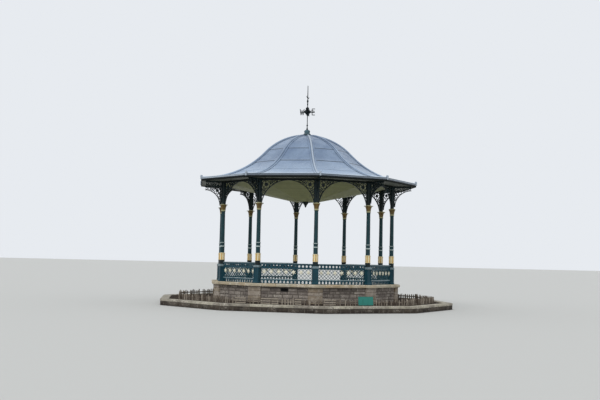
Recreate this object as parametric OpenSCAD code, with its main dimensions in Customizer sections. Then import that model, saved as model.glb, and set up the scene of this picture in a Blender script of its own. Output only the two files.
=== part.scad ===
// Ten-sided iron bandstand on a stone plinth, inside a low round terrace.
// Origin: centre of the plan, on the level ground. +Z is up, -Y is the front bay, +Y the entrance bay.

/* [Stage] */
// Radius of the circle through the column centres
column_circle_r = 3800; // [3400:50:4200]
// Height of the stage floor above the ground
deck_h = 1000; // [850:10:1200]
// Thickness of the floor slab and of the stone coping round it
deck_t = 120; // [100:5:150]
// Width of the stone coping round the floor slab
coping_w = 535; // [480:5:590]

/* [Plinth] */
// How far the plinth wall's corners lie outside the column circle
plinth_out = 250; // [220:5:300]
// Thickness of the plinth wall
plinth_wall_t = 450; // [430:10:550]
// Width of the pier face on each side of a corner
pier_w = 300; // [200:10:400]
// How far the piers stand proud of the wall
pier_proud = 50; // [30:5:70]
// How far the coping overhangs the piers
coping_over = 95; // [60:5:120]
// Radius of the worn edge of the coping
coping_edge = 36; // [20:2:50]

/* [Air bricks] */
// Width of an air brick
vent_w = 300; // [200:10:400]
// Height of an air brick
vent_h = 140; // [100:5:160]
// Depth of its top below the coping
vent_drop = 50; // [30:5:100]
// Thickness of its grille
vent_t = 40; // [25:5:60]

/* [Terrace] */
// Outer corner radius of the terrace wall
terrace_r = 6400; // [6200:50:6700]
// Height of the terrace wall under its coping
terrace_wall_h = 180; // [160:5:220]
// Thickness of the terrace wall
terrace_wall_t = 300; // [250:10:350]
// Thickness of the terrace coping
kerb_t = 95; // [80:5:110]
// How far the terrace coping overhangs its wall on each side
kerb_over = 30; // [20:5:40]
// Height of the bed above the ground
bed_h = 258; // [242:2:270]
// Clear width of the entrance path and its steps
path_w = 1800; // [1400:50:1900]

/* [Steps] */
// Number of risers up to the stage
riser_count = 6; // [5:1:7]
// Depth of one tread
tread_d = 300; // [260:10:340]

/* [Picket fence] */
// Corner radius of the ring of pickets
fence_r = 5650; // [5500:50:5900]
// Width of one picket
picket_w = 72; // [50:2:90]
// Thickness of one picket
picket_t = 26; // [18:2:40]
// Height of the tallest picket above the bed
picket_h = 270; // [200:10:350]
// Spacing of the pickets
picket_pitch = 110; // [95:5:140]
// Height of the rail behind them
fence_rail_h = 45; // [30:5:60]
// Thickness of the rail behind them
fence_rail_t = 22; // [16:2:30]

/* [Columns] */
// Width of the square pedestal
pedestal_w = 232; // [216:4:248]
// Height of the pedestal
pedestal_h = 710; // [680:10:740]
// Width of the pedestal's base and cap mouldings
pedestal_cap_w = 256; // [240:2:272]
// Radius of the plain neck between the pedestal and the leaf collar
neck_r = 108; // [100:1:116]
// Depth of the sunk panels in its faces
panel_sink = 10; // [6:1:14]
// Height of the top of the leaf collar above the stage
collar_top = 1185; // [1150:5:1220]
// Height of the foot of the leaf collar above the stage
collar_foot = 892; // [870:2:910]
// Radius of the leaf collar
collar_r = 108; // [100:1:114]
// Number of leaves round the collar
collar_leaves = 12; // [8:1:16]
// Radius of the shaft
shaft_r = 80; // [70:1:88]
// Height of the lower ring above the stage
ring_low = 1455; // [1420:5:1480]
// Height of the upper ring above the stage
ring_high = 1610; // [1580:5:1660]
// Outer radius of the two rings
ring_r = 105; // [96:1:112]
// Height of the foot of the capital above the stage
capital_foot = 2935; // [2890:5:2980]
// Height of the top of the capital above the stage
capital_top = 3215; // [3180:5:3240]
// Number of leaves round the capital
capital_leaves = 8; // [6:1:12]
// Half width of the capital's square top plate
abacus_half = 132; // [124:2:140]

/* [Railings] */
// Height of the top rail above the stage
rail_h = 810; // [790:5:830]
// Width of the top rail
rail_w = 60; // [45:5:75]
// Thickness of the rails
rail_t = 28; // [20:2:36]
// Depth of the flat castings between the rails
casting_t = 22; // [16:2:28]
// Height of the underside of the upper band above the stage
band_low = 600; // [580:5:620]
// Height of the centre of the star rosettes above the stage
star_z = 460; // [440:5:480]
// Radius of a star rosette's points
star_r = 88; // [76:2:96]
// Height of the rail over the lowest row of openings
kick_rail_z = 168; // [150:2:190]
// Height of the two flat bars that edge the lattice
edge_bar_h = 26; // [20:2:32]
// Number of star rosettes in a bay
star_count = 7; // [5:1:9]
// Width of the lattice bars
lattice_w = 13; // [9:1:17]
// Slope of the lattice bars, in degrees
lattice_angle = 43; // [38:1:48]
// Width of an opening in the lowest row
kick_open_w = 84; // [70:2:90]
// Height of an opening in the lowest row
kick_open_h = 106; // [90:2:112]
// Radius of the holes in the upper band
band_hole_r = 44; // [36:1:50]

/* [Brackets] */
// Radius of the arch under the spandrels
arch_r = 1075; // [1060:1:1085]
// Height of the arch crown above the stage
arch_crown = 4125; // [4100:5:4130]
// Height of the beam's underside above the stage
beam_z = 4155; // [4150:5:4165]
// Width of the rim of the castings
rim_w = 30; // [22:1:36]
// Thickness of the castings' rim
rim_t = 46; // [36:2:60]
// Thickness of the tracery
tracery_t = 24; // [16:2:30]
// Width of the tracery bars
tracery_w = 18; // [14:1:21]
// How far the eaves brackets end short of the eaves' corners
eaves_short = 200; // [150:10:250]
// Straight run from the column's face to the curve under the eaves brackets
eaves_straight = 50; // [40:5:70]
// Height of the soffit above the stage
soffit_z = 4196; // [4190:2:4200]

/* [Roof] */
// Overhang of the eaves' corners beyond the column circle
eaves_over = 1020; // [900:20:1140]
// Height of the eaves' top edge above the stage
eaves_z = 4300; // [4296:2:4320]
// Radius of the upper, bulging curve of a bay
dome_r = 2710; // [2680:10:2740]
// Steepest slope of the roof, in degrees
roof_slope = 48; // [47:0.5:49]
// Thickness of the boarded and leaded shell
roof_t = 48; // [40:2:60]
// Width of the ring beam
beam_w = 160; // [140:5:180]
// Thickness of the ceiling boards
board_t = 24; // [18:2:30]
// Drop of the ceiling from its edge to its flat middle
ceiling_drop = 665; // [560:15:740]
// Distance of the sides of the ceiling's flat middle from the centre
ceiling_flat = 550; // [450:10:650]
// Radius of the plate over the boss under the ceiling
boss_plate_r = 222; // [200:2:240]
// Radius of the boss under the ceiling
boss_r = 118; // [100:2:130]
// Height of the boss under the ceiling
boss_h = 250; // [200:10:270]
// Height of the fascia
fascia_h = 66; // [56:2:76]
// Thickness of the fascia
fascia_t = 34; // [24:2:44]
// Half width of a hip roll
roll_half = 42; // [36:2:48]
// Height of a hip roll above the hip
roll_h = 52; // [40:2:64]
// Height of the knob that ends a hip roll above the eaves' edge
knob_h = 110; // [90:5:130]
// Depth to which the knob hangs over the eaves' edge
knob_drop = 72; // [50:2:90]

/* [Finial] */
// Radius of the cap's flared foot
cap_foot_r = 185; // [170:5:200]
// Radius of the bulb on the roof's cap
cap_r = 130; // [115:5:145]
// Number of lobes round the bulb
cap_lobes = 8; // [6:1:10]
// Height of the cap
cap_h = 285; // [255:5:315]
// Radius of the finial rod
rod_r = 21; // [16:1:25]
// Height of the finial above the cap
finial_h = 1980; // [1800:20:2100]
// Reach of each compass arm
arm_reach = 372; // [320:4:400]
// Half height of the scrolled boss where the arms cross
scroll_half = 200; // [170:5:220]

/* [Hidden] */
$fn = 48;
sides = 10;
step_a = 360 / sides;
half_a = step_a / 2;
entrance_bay = sides / 2;
vent_bays = [10, 3, 7];
joint = 4;
apothem = cos(half_a);
bay_half = column_circle_r * sin(half_a);
bay_y = column_circle_r * apothem;
riser_h = deck_h / riser_count;
star_pitch = 2 * (bay_half - pedestal_w / 2) / star_count;
arch_z = arch_crown - arch_r;
kick_sill = 14;
neck_top = collar_foot - 24;
band_hole_z = (band_low + edge_bar_h / 2 + rail_h - rail_t) / 2;
kick_open_z = kick_sill + kick_open_h / 2;
plinth_top = deck_h - deck_t;
plinth_r = column_circle_r + plinth_out;
pier_r = plinth_r + pier_proud / apothem;
coping_r = pier_r + coping_over / apothem;
deck_r = coping_r - coping_w / apothem;
eaves_r = column_circle_r + eaves_over;
eaves_reach = eaves_over - eaves_short;
eaves_arch_r = eaves_reach - shaft_r - eaves_straight;
terrace_in_r = terrace_r - terrace_wall_t / apothem;

// Roof profile of a bay: an upper arc bulging out, then a lower arc that flattens to the eaves.
dome_shift = 120;
eaves_y = eaves_r * apothem;
turn_y = dome_r * sin(roof_slope) - dome_shift;
lower_run = eaves_y - turn_y;
eaves_slope = 1;
sweep_r = lower_run / (sin(roof_slope) - sin(eaves_slope));
turn_z = eaves_z + sweep_r * (cos(eaves_slope) - cos(roof_slope));
first_slope = asin((cap_foot_r + dome_shift) / dome_r);
arc_steps = 8;
dome_line = [for (k = [0:arc_steps])
    let (a = first_slope + (roof_slope - first_slope) * k / arc_steps)
    [dome_r * sin(a) - dome_shift, turn_z + dome_r * (cos(a) - cos(roof_slope))]];
sweep_line = [for (k = [1:arc_steps])
    let (a = roof_slope + (eaves_slope - roof_slope) * k / arc_steps)
    [turn_y + sweep_r * (sin(roof_slope) - sin(a)), turn_z - sweep_r * (cos(a) - cos(roof_slope))]];
roof_line = concat(dome_line, sweep_line);
roof_top_z = roof_line[0][1];
roof_drop = roof_t / cos(roof_slope);
under_line = [for (p = roof_line) [p[0], p[1] - roof_drop]];
beam_out_y = bay_y + beam_w / 2;
beam_in_y = bay_y - beam_w / 2;
beam_top = lookup(beam_out_y, under_line);
ceiling_edge_z = deck_h + beam_z + 10;
ceiling_tip_z = ceiling_edge_z - ceiling_drop;
fascia_top = eaves_z - roof_drop;
fascia_in_r = eaves_r - fascia_t / apothem;

COLUMN_NODES = [for (i = [1:sides]) str("column_", i)];
RAILING_NODES = [for (i = [1:sides]) if (i != entrance_bay) str("railing_", i)];
BRACKET_NODES = [for (i = [1:sides]) str("bracket_", i)];

// Places and shared outlines

function corner_angle(i) = (i - 0.5) * step_a;
function bay_angle(i) = i * step_a;
function corner(r, i) = [r * sin(corner_angle(i)), -r * cos(corner_angle(i))];

// Puts children at column i: -Y points out, +X along the ring to the next column.
module at_column(i) {
    rotate([0, 0, corner_angle(i)]) translate([0, -column_circle_r, 0]) children();
}

// Puts children at bay i: Y = 0 lies at the centre of the plan, -Y points out.
module at_bay(i) {
    rotate([0, 0, bay_angle(i)]) children();
}

module ring_outline(r) {
    polygon([for (i = [1:sides]) corner(r, i)]);
}

module ring_prism(outer_r, inner_r, low, high) {
    translate([0, 0, low]) linear_extrude(high - low) difference() {
        ring_outline(outer_r);
        ring_outline(inner_r);
    }
}

// A solid ring whose section in each bay is the closed profile, as distance out and height.
module ring_sweep(profile) {
    m = len(profile);
    polyhedron(
        points = [for (p = profile) for (i = [1:sides]) concat(corner(p[0] / apothem, i), [p[1]])],
        faces = [for (k = [0:m - 1]) for (j = [0:sides - 1]) let (n = (k + 1) % m, i = (j + 1) % sides)
            [k * sides + j, k * sides + i, n * sides + i, n * sides + j]]);
}

// Plan of the path through the terrace, as wide as w and out to the distance far.
module path_plan(w, far) {
    translate([-w / 2, 0]) square([w, far]);
}

// Terrace

module terrace_wall_plan(grow) {
    difference() {
        union() {
            difference() {
                ring_outline(terrace_r + grow / apothem);
                ring_outline(terrace_in_r - grow / apothem);
            }
            intersection() {
                path_plan(path_w + 2 * (terrace_wall_t + grow), terrace_r);
                ring_outline(terrace_r + grow / apothem);
            }
        }
        path_plan(path_w - 2 * grow, terrace_r + 2 * grow);
        ring_outline(coping_r + joint);
    }
}

module terrace_wall() {
    color("dimgray") linear_extrude(terrace_wall_h) terrace_wall_plan(0);
}

module terrace_coping() {
    color("lightgray") translate([0, 0, terrace_wall_h]) linear_extrude(kerb_t)
        terrace_wall_plan(kerb_over);
}

// The bed fills the ring between the wall and the plinth, and stops under the coping's overhang.
module terrace_bed() {
    color("saddlebrown") {
        linear_extrude(terrace_wall_h) bed_plan(0);
        translate([0, 0, terrace_wall_h]) linear_extrude(bed_h - terrace_wall_h) bed_plan(kerb_over);
    }
}

module bed_plan(grow) {
    difference() {
        ring_outline(terrace_in_r - grow / apothem);
        ring_outline(pier_r);
        path_plan(path_w + 2 * (terrace_wall_t + grow), terrace_r);
    }
}

// Picket fence: one low panel a side, pickets of uneven height nailed to a rail behind them

module picket_fence() {
    color("rosybrown") for (i = [1:sides]) at_bay(i) fence_panel(i);
}

module fence_panel(i) {
    half = fence_r * sin(half_a) - picket_t;
    face_y = -fence_r * apothem;
    gap = i == entrance_bay ? path_w / 2 + terrace_wall_t + kerb_over : 0;
    count = floor(half / picket_pitch);
    spans = gap > 0 ? [[-half, -gap], [gap, half]] : [[-half, half]];
    for (s = spans) {
        translate([s[0], face_y, bed_h + picket_h * 0.35])
            cube([s[1] - s[0], fence_rail_t, fence_rail_h]);
        for (k = [-count:count]) {
            x = k * picket_pitch;
            if (x - picket_w / 2 > s[0] && x + picket_w / 2 < s[1])
                translate([x - picket_w / 2, face_y - picket_t, bed_h]) picket(picket_h * uneven(k + 7 * i));
        }
    }
}

// A share between 0.8 and 1 that differs from one picket to the next.
function uneven(k) = 0.9 + 0.1 * sin(137 * k);

module picket(h) {
    cube([picket_w, picket_t, h]);
}

// Plinth

module plinth_plan() {
    ring_outline(plinth_r);
    for (i = [1:sides]) intersection() {
        ring_outline(pier_r);
        polygon([[0, 0], pier_edge(i, -1), corner(1.2 * pier_r, i), pier_edge(i, 1)]);
    }
}

// Where the side of a pier leaves the corner i, far outside the plinth.
function pier_edge(i, side) =
    let (c = corner(pier_r, i), a = corner_angle(i) + side * half_a)
    1.2 * [c[0] + side * pier_w * cos(a), c[1] + side * pier_w * sin(a)];

module plinth_wall() {
    color("gray") difference() {
        linear_extrude(plinth_top) difference() {
            plinth_plan();
            ring_outline(plinth_r - plinth_wall_t / apothem);
        }
        for (i = vent_bays) at_bay(i) vent_hole();
    }
}

vent_low = plinth_top - vent_drop - vent_h;

module vent_hole() {
    translate([-vent_w / 2, -plinth_r, vent_low]) cube([vent_w, 2 * plinth_wall_t, vent_h]);
}

module air_bricks() {
    color("dimgray") for (i = vent_bays) at_bay(i) air_brick();
}

// A grille of upright bars in a frame, flush with the wall's face.
module air_brick() {
    edge = vent_h * 0.12;
    slot = vent_h * 0.16;
    slots = floor((vent_w - 2 * edge) / (1.8 * slot));
    translate([0, -plinth_r * apothem, vent_low]) difference() {
        translate([-vent_w / 2, 0, 0]) cube([vent_w, vent_t, vent_h]);
        for (k = [0:slots - 1]) translate([(k - (slots - 1) / 2) * 1.8 * slot - slot / 2, -1, edge])
            cube([slot, vent_t + 2, vent_h - 2 * edge]);
    }
}

// Stone coping with a worn, rounded upper edge and a slight weathering under its nose.
module plinth_coping() {
    face = coping_r * apothem;
    color("silver") ring_sweep(concat(
        [[deck_r * apothem, deck_h], [deck_r * apothem, plinth_top],
            [face - coping_edge / 3, plinth_top], [face, plinth_top + coping_edge / 3]],
        [for (a = [0:30:90]) [face - coping_edge * (1 - cos(a)), deck_h - coping_edge * (1 - sin(a))]]));
}

module deck() {
    color("lightgray") translate([0, 0, plinth_top]) linear_extrude(deck_t) ring_outline(deck_r);
}

// Entrance steps: solid stone steps between the terrace's side walls

module entrance_steps() {
    wall_y = plinth_r * apothem;
    nose_y = coping_r * apothem;
    color("darkgray") at_bay(entrance_bay) for (k = [1:riser_count - 1])
        translate([-path_w / 2 + joint, -nose_y - k * tread_d, 0])
            cube([path_w - 2 * joint, (k == 1 ? nose_y + tread_d - wall_y : tread_d) - joint,
                deck_h - k * riser_h]);
}

// Columns

module column(i) {
    color("darkslategray") at_column(i) translate([0, 0, deck_h]) {
        pedestal();
        column_turning();
    }
}

// A square block that tapers from the width w1 to w2 over its height.
module square_taper(w1, w2, h) {
    polyhedron(
        points = [for (t = [[w1, 0], [w2, h]]) for (c = [[-1, -1], [1, -1], [1, 1], [-1, 1]])
            [c[0] * t[0] / 2, c[1] * t[0] / 2, t[1]]],
        faces = [[0, 1, 2, 3], [7, 6, 5, 4], for (k = [0:3]) let (n = (k + 1) % 4) [k, k + 4, n + 4, n]]);
}

module square_block(w, h) {
    translate([-w / 2, -w / 2, 0]) cube([w, w, h]);
}

module pedestal() {
    base_h = 56;
    taper_h = 20;
    cap_z = pedestal_h - 78;
    sink_low = base_h + pedestal_w * 0.2;
    square_block(pedestal_cap_w, base_h);
    translate([0, 0, base_h]) square_taper(pedestal_cap_w, pedestal_w, taper_h);
    difference() {
        square_block(pedestal_w, pedestal_h - taper_h);
        for (a = [0:90:270]) rotate([0, 0, a])
            translate([-pedestal_w * 0.32, -pedestal_w / 2 - 1, sink_low])
                cube([pedestal_w * 0.64, panel_sink + 1, cap_z - taper_h - sink_low]);
    }
    translate([0, 0, cap_z - taper_h]) square_taper(pedestal_w, pedestal_cap_w, taper_h);
    translate([0, 0, cap_z]) square_block(pedestal_cap_w, pedestal_h - taper_h - cap_z);
    translate([0, 0, pedestal_h - taper_h]) square_taper(pedestal_cap_w, 2 * neck_r, taper_h);
}

// The turned part: neck, drum under the rings, shaft and bell of the capital in one profile.
module column_turning() {
    bead = 22;
    drum_r = shaft_r * 1.12;
    bell_low = capital_foot + (capital_top - capital_foot) * 0.35;
    abacus_t = 34;
    bell_top = capital_top - abacus_t;
    rotate_extrude() polygon([
        [0, pedestal_h], [neck_r, pedestal_h], [neck_r, neck_top], [collar_r * 1.05, collar_foot - 14],
        [collar_r * 1.05, collar_foot], [drum_r, collar_foot], [drum_r, collar_top - 16],
        [collar_r * 1.06, collar_top - 16], [collar_r * 1.06, collar_top - 4], [collar_r * 0.96, collar_top],
        [drum_r, collar_top + 14],
        [drum_r, ring_low - bead], [ring_r, ring_low - bead / 2], [ring_r, ring_low + bead / 2],
        [drum_r, ring_low + bead],
        [drum_r, ring_high - bead], [ring_r, ring_high - bead / 2], [ring_r, ring_high + bead / 2],
        [shaft_r * 1.06, ring_high + bead], [shaft_r * 0.98, capital_foot - 26],
        [shaft_r * 1.2, capital_foot - 18], [shaft_r * 1.2, capital_foot - 6], [shaft_r, capital_foot],
        [shaft_r * 1.05, bell_low], [shaft_r * 1.2, (bell_low + bell_top) / 2],
        [abacus_half * 0.94, bell_top], [0, bell_top]]);
    leaf_collar();
    capital_leaf_ring(bell_low, bell_top);
    translate([0, 0, bell_top]) square_block(2 * abacus_half, abacus_t);
    translate([0, 0, capital_top]) cylinder(r = shaft_r, h = beam_z - capital_top);
    translate([0, 0, capital_top]) cylinder(r = shaft_r * 1.2, h = abacus_t / 2);
}

// Upright leaves side by side: a drum with a groove between each leaf and the next.
module leaf_collar() {
    groove_r = collar_r * sin(180 / collar_leaves) * 0.42;
    translate([0, 0, collar_foot]) linear_extrude(collar_top - 16 - collar_foot) difference() {
        circle(r = collar_r);
        for (k = [1:collar_leaves]) rotate(k * 360 / collar_leaves)
            translate([collar_r + groove_r * 0.3, 0]) circle(r = groove_r, $fn = 16);
    }
}

// The capital's leaves: a flared ring, thicker than the bell, slotted between each leaf and the next.
module capital_leaf_ring(low, high) {
    slot_w = 9;
    lip = 14;
    difference() {
        rotate_extrude() polygon([
            [shaft_r * 0.9, capital_foot + 8], [shaft_r * 1.12, capital_foot + 8], [shaft_r * 1.2, low],
            [shaft_r * 1.36, (low + high) / 2], [abacus_half * 1.02, high - lip - 4],
            [abacus_half * 1.02, high - lip], [abacus_half * 0.8, high - lip], [shaft_r * 0.9, low]]);
        for (k = [1:capital_leaves]) rotate([0, 0, (k + 0.5) * 360 / capital_leaves])
            translate([shaft_r * 1.08, -slot_w / 2, capital_foot + 30])
                cube([abacus_half, slot_w, high - capital_foot]);
    }
}

// Railings: a bay's panel, cut to the pedestals and the columns' necks at both ends

module railing(i) {
    color("teal") translate([0, 0, deck_h]) difference() {
        at_bay(i) translate([0, -bay_y, 0]) railing_panel();
        for (c = [i, i + 1]) at_column(c) {
            translate([0, 0, -1]) square_block(pedestal_cap_w, pedestal_h + 1);
            cylinder(r = neck_r, h = neck_top);
        }
    }
}

module railing_panel() {
    cap_t = rail_t / 2;
    upright_bar(rail_w, cap_t, rail_h - cap_t);
    upright_bar(rail_w * 0.7, rail_t - cap_t, rail_h - rail_t);
    upright_bar(casting_t + 14, edge_bar_h, kick_rail_z - edge_bar_h / 2);
    upright_bar(casting_t + 10, edge_bar_h, band_low - edge_bar_h / 2);
    translate([0, casting_t / 2, 0]) rotate([90, 0, 0]) linear_extrude(casting_t) railing_outline();
}

// A bar along the whole bay, w wide and h high, with its foot at the height z.
module upright_bar(w, h, z) {
    translate([-bay_half, -w / 2, z]) cube([2 * bay_half, w, h]);
}

module railing_outline() {
    translate([-bay_half, kick_rail_z - 1]) intersection() {
        square([2 * bay_half, band_low - kick_rail_z + 2]);
        translate([bay_half, star_z - kick_rail_z + 1]) lattice();
    }
    for (k = [0:star_count - 1]) translate([(k + 0.5 - star_count / 2) * star_pitch, star_z]) star(star_r);
    difference() {
        translate([-bay_half, 0]) square([2 * bay_half, kick_rail_z]);
        for (k = [0:2 * star_count - 1]) translate([(k + 0.5 - star_count) * star_pitch / 2, kick_open_z])
            kick_opening();
    }
    difference() {
        translate([-bay_half, band_low]) square([2 * bay_half, rail_h - rail_t / 2 - band_low]);
        for (k = [0:2 * star_count - 1])
            translate([(k + 0.5 - star_count) * star_pitch / 2, band_hole_z]) circle(r = band_hole_r);
    }
}

// Bars that cross at the rosettes and halfway between them. The origin lies at a rosette's height.
module lattice() {
    len = 3 * star_pitch;
    for (k = [-star_count - 3:star_count + 3]) for (s = [-1, 1])
        translate([(k + (star_count % 2 == 0 ? 0.5 : 0)) * star_pitch / 2, 0])
            rotate(s * lattice_angle) square([len, lattice_w], center = true);
}

// An opening of the lowest row: upright sides under a round head.
module kick_opening() {
    w = kick_open_w / 2;
    translate([-w, -kick_open_h / 2]) square([2 * w, kick_open_h - w]);
    translate([0, kick_open_h / 2 - w]) circle(r = w, $fn = 24);
}

module star(r) {
    polygon([for (k = [0:11]) let (a = 30 * k, d = k % 2 == 0 ? r : 0.5 * r) [d * sin(a), d * cos(a)]]);
}

// Brackets: two pierced spandrels along the bays and one out to the eaves

module bracket(i) {
    color("darkslategray") translate([0, 0, deck_h]) {
        difference() {
            union() {
                at_bay(i) bay_wing(-1);
                at_bay(i - 1) bay_wing(1);
            }
            at_column(i) cylinder(r = shaft_r, h = soffit_z);
        }
        at_column(i) eaves_wing();
    }
}

// Half of a bay's arch. It stands in the bay's plane, from the column at side to the crown.
module bay_wing(side) {
    translate([0, -bay_y, arch_z]) rotate([90, 0, 0]) mirror([side > 0 ? 1 : 0, 0, 0])
        casting(arch_r, bay_half, bay_half - shaft_r, beam_z - arch_z, capital_top - arch_z, joint / 2);
}

// The bracket under the eaves. It runs straight out from the column to the soffit's edge.
module eaves_wing() {
    foot_z = soffit_z - eaves_arch_r - eaves_straight * 4;
    difference() {
        translate([0, -eaves_reach, foot_z]) rotate([90, 0, -90])
            casting(eaves_arch_r, eaves_reach, eaves_reach - shaft_r, beam_z - foot_z, 0, 0);
        cylinder(r = shaft_r, h = soffit_z);
    }
    translate([-rim_t / 2, -eaves_reach, beam_z])
        cube([rim_t, eaves_reach - (beam_out_y / apothem - column_circle_r) - joint, soffit_z - beam_z]);
}

// A spandrel casting over an arch of radius r centred on the origin. It fills X from -full to -end
// and Y from foot to top, outside the arch; its column's face lies at X = -wide.
module casting(r, full, wide, top, foot, end) {
    linear_extrude(rim_t, center = true) difference() {
        spandrel_outline(r, full, top, foot, end);
        spandrel_outline(r + rim_w, wide - rim_w, top - rim_w, foot - 1, 0);
    }
    linear_extrude(tracery_t, center = true) intersection() {
        spandrel_outline(r + 1, full, top - 1, foot, end);
        tracery(r + rim_w, wide - rim_w, top - rim_w);
    }
}

module spandrel_outline(r, full, top, foot, end) {
    difference() {
        translate([-full, foot]) square([full - end, top - foot]);
        circle(r = r, $fn = 96);
    }
}

// Rings that touch each other, the arch and the straight rims, and shrink towards both tips.
module tracery(a, s, h) {
    first_x = corner_ring(a, s, h);
    first_r = s - first_x;
    rosette(-first_x, h - first_r, first_r, 3);
    row = chain(first_x, first_r, h * h - a * a, 2 * (a + h), 3);
    for (c = row) rosette(-c[0], h - c[1], c[1], 2);
    col = chain(h - first_r, first_r, s * s - a * a, 2 * (a + s), 3);
    for (c = col) rosette(-(s - c[1]), c[0], c[1], 2);
}

// A ring with a boss in its middle, held by crossing bars.
module rosette(x, y, r, bars) {
    translate([x, y]) {
        if (r > tracery_w) difference() {
            circle(r = r + 2);
            circle(r = r - tracery_w);
        }
        if (r > 4 * tracery_w) {
            circle(r = r * 0.42);
            for (k = [0:bars - 1]) rotate(45 + k * 180 / bars) square([2 * r, tracery_w], center = true);
        }
    }
}

// X of the ring that touches the arch, the top and the side at once.
function corner_ring(a, s, h) = -(a + h) + sqrt((a + h) * (a + h) + 2 * (a + h) * s - h * h + a * a);

// The next rings along one straight rim: places x and radii, each touching the one before.
function chain(x, r, k, m, n) = n == 0 ? [] :
    let (q = 4 * r / m, x2 = (x - sqrt(x * x - (1 - q) * (x * x - q * k))) / (1 - q), r2 = (x2 * x2 + k) / m)
    concat([[x2, r2]], chain(x2, r2, k, m, n - 1));

// Roof

module ring_beam() {
    color("darkslategray")
        ring_prism(beam_out_y / apothem, beam_in_y / apothem, deck_h + beam_z, deck_h + beam_top);
}

// Boards in ten bays that fall to a flat middle, where the boss hangs.
module ceiling() {
    under = [[ceiling_flat, ceiling_tip_z], [beam_in_y, ceiling_edge_z]];
    color("darkkhaki") ring_shell(under, [for (p = under) [p[0], p[1] + board_t]]);
}

// A turned drop under a broad plate, at the middle of the boards.
module ceiling_boss() {
    plate_t = boss_h * 0.13;
    color("darkslategray") translate([0, 0, ceiling_tip_z]) rotate_extrude() polygon([
        [0, -boss_h], [boss_r * 0.16, -boss_h * 0.98], [boss_r * 0.2, -boss_h * 0.88],
        [boss_r * 0.34, -boss_h * 0.78], [boss_r * 0.52, -boss_h * 0.56], [boss_r * 0.86, -boss_h * 0.36],
        [boss_r, -boss_h * 0.24],
        [boss_r, -plate_t * 1.3], [boss_r * 1.25, -plate_t], [boss_plate_r * 0.94, -plate_t],
        [boss_plate_r, -plate_t * 0.6], [boss_plate_r, 0], [0, 0]]);
}

module eaves_soffit() {
    color("olivedrab")
        ring_prism(fascia_in_r, beam_out_y / apothem, deck_h + soffit_z, deck_h + soffit_z + board_t);
}

module fascia() {
    color("darkslategray")
        ring_prism(eaves_r, fascia_in_r, deck_h + fascia_top - fascia_h, deck_h + fascia_top);
}

module roof_shell() {
    color("slategray") translate([0, 0, deck_h]) ring_shell(under_line, roof_line);
}

// A closed shell of ten-sided rings with a flat middle. Both lines run from the middle to the edge,
// as distance of the bay from the centre and height.
module ring_shell(under, over) {
    line = concat([for (k = [len(under) - 1:-1:0]) under[k]], over);
    m = len(line);
    inner = len(under) - 1;
    polyhedron(
        points = concat(
            [for (p = line) for (i = [1:sides]) concat(corner(p[0] / apothem, i), [p[1]])],
            [[0, 0, under[0][1]], [0, 0, over[0][1]]]),
        faces = concat(
            [for (k = [0:m - 1]) if (k != inner) for (j = [0:sides - 1])
                let (n = (k + 1) % m, i = (j + 1) % sides)
                [k * sides + j, k * sides + i, n * sides + i, n * sides + j]],
            [for (j = [0:sides - 1]) [inner * sides + j, inner * sides + (j + 1) % sides, m * sides]],
            [for (j = [0:sides - 1])
                [(inner + 1) * sides + j, m * sides + 1, (inner + 1) * sides + (j + 1) % sides]]));
}

// Hip rolls: round-topped rolls laid on the hips, each ended by a knob over the eaves corner

module hip_rolls() {
    color("lightslategray") for (i = [1:sides]) rotate([0, 0, corner_angle(i)]) translate([0, 0, deck_h])
        hip_roll();
}

// Slope of the roof line at point k, as a fall over a run.
function slope_at(k) = let (p = roof_line[max(k - 1, 0)], q = roof_line[min(k + 1, len(roof_line) - 1)])
    (p[1] - q[1]) / (q[0] - p[0]);

// The roll's loops: out is the distance from the centre along the hip, keel and low the depths below
// the hip at the roll's middle and at its edges, and height its rise above the hip.
function roll_loop(out, z, keel, low, height) = concat([[0, -out, z - keel]],
    [for (a = [0:60:180]) [roll_half * cos(a), -out, z - low + 1 + (low + height) * sin(a)]]);

module hip_roll() {
    last = len(roof_line) - 1;
    edge = eaves_r;
    rings = concat(
        [for (k = [0:last - 1]) let (p = roof_line[k], fall = slope_at(k) * tan(half_a) * apothem)
            roll_loop(p[0] / apothem, p[1], 0, k == 0 ? 0 : roll_half * fall, roll_h)],
        [roll_loop(edge - 90, eaves_z + 1, 0, 0, roll_h),
            roll_loop(edge - 82, eaves_z + 1, 0, 0, knob_h * 0.9),
            roll_loop(edge - 40, eaves_z, 0, 0, knob_h), roll_loop(edge + 1, eaves_z, 0, 0, knob_h * 0.92),
            roll_loop(edge + 2, eaves_z, knob_drop, knob_drop, knob_h * 0.9),
            roll_loop(edge + 30, eaves_z, knob_drop * 0.7, knob_drop * 0.7, knob_h * 0.4)]);
    n = len(rings[0]);
    m = len(rings);
    polyhedron(
        points = [for (r = rings) for (p = r) p],
        faces = concat(
            [[for (j = [n - 1:-1:0]) j]],
            [[for (j = [0:n - 1]) (m - 1) * n + j]],
            [for (k = [0:m - 2]) for (j = [0:n - 1])
                [k * n + j, k * n + (j + 1) % n, (k + 1) * n + (j + 1) % n, (k + 1) * n + j]]));
}

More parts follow.
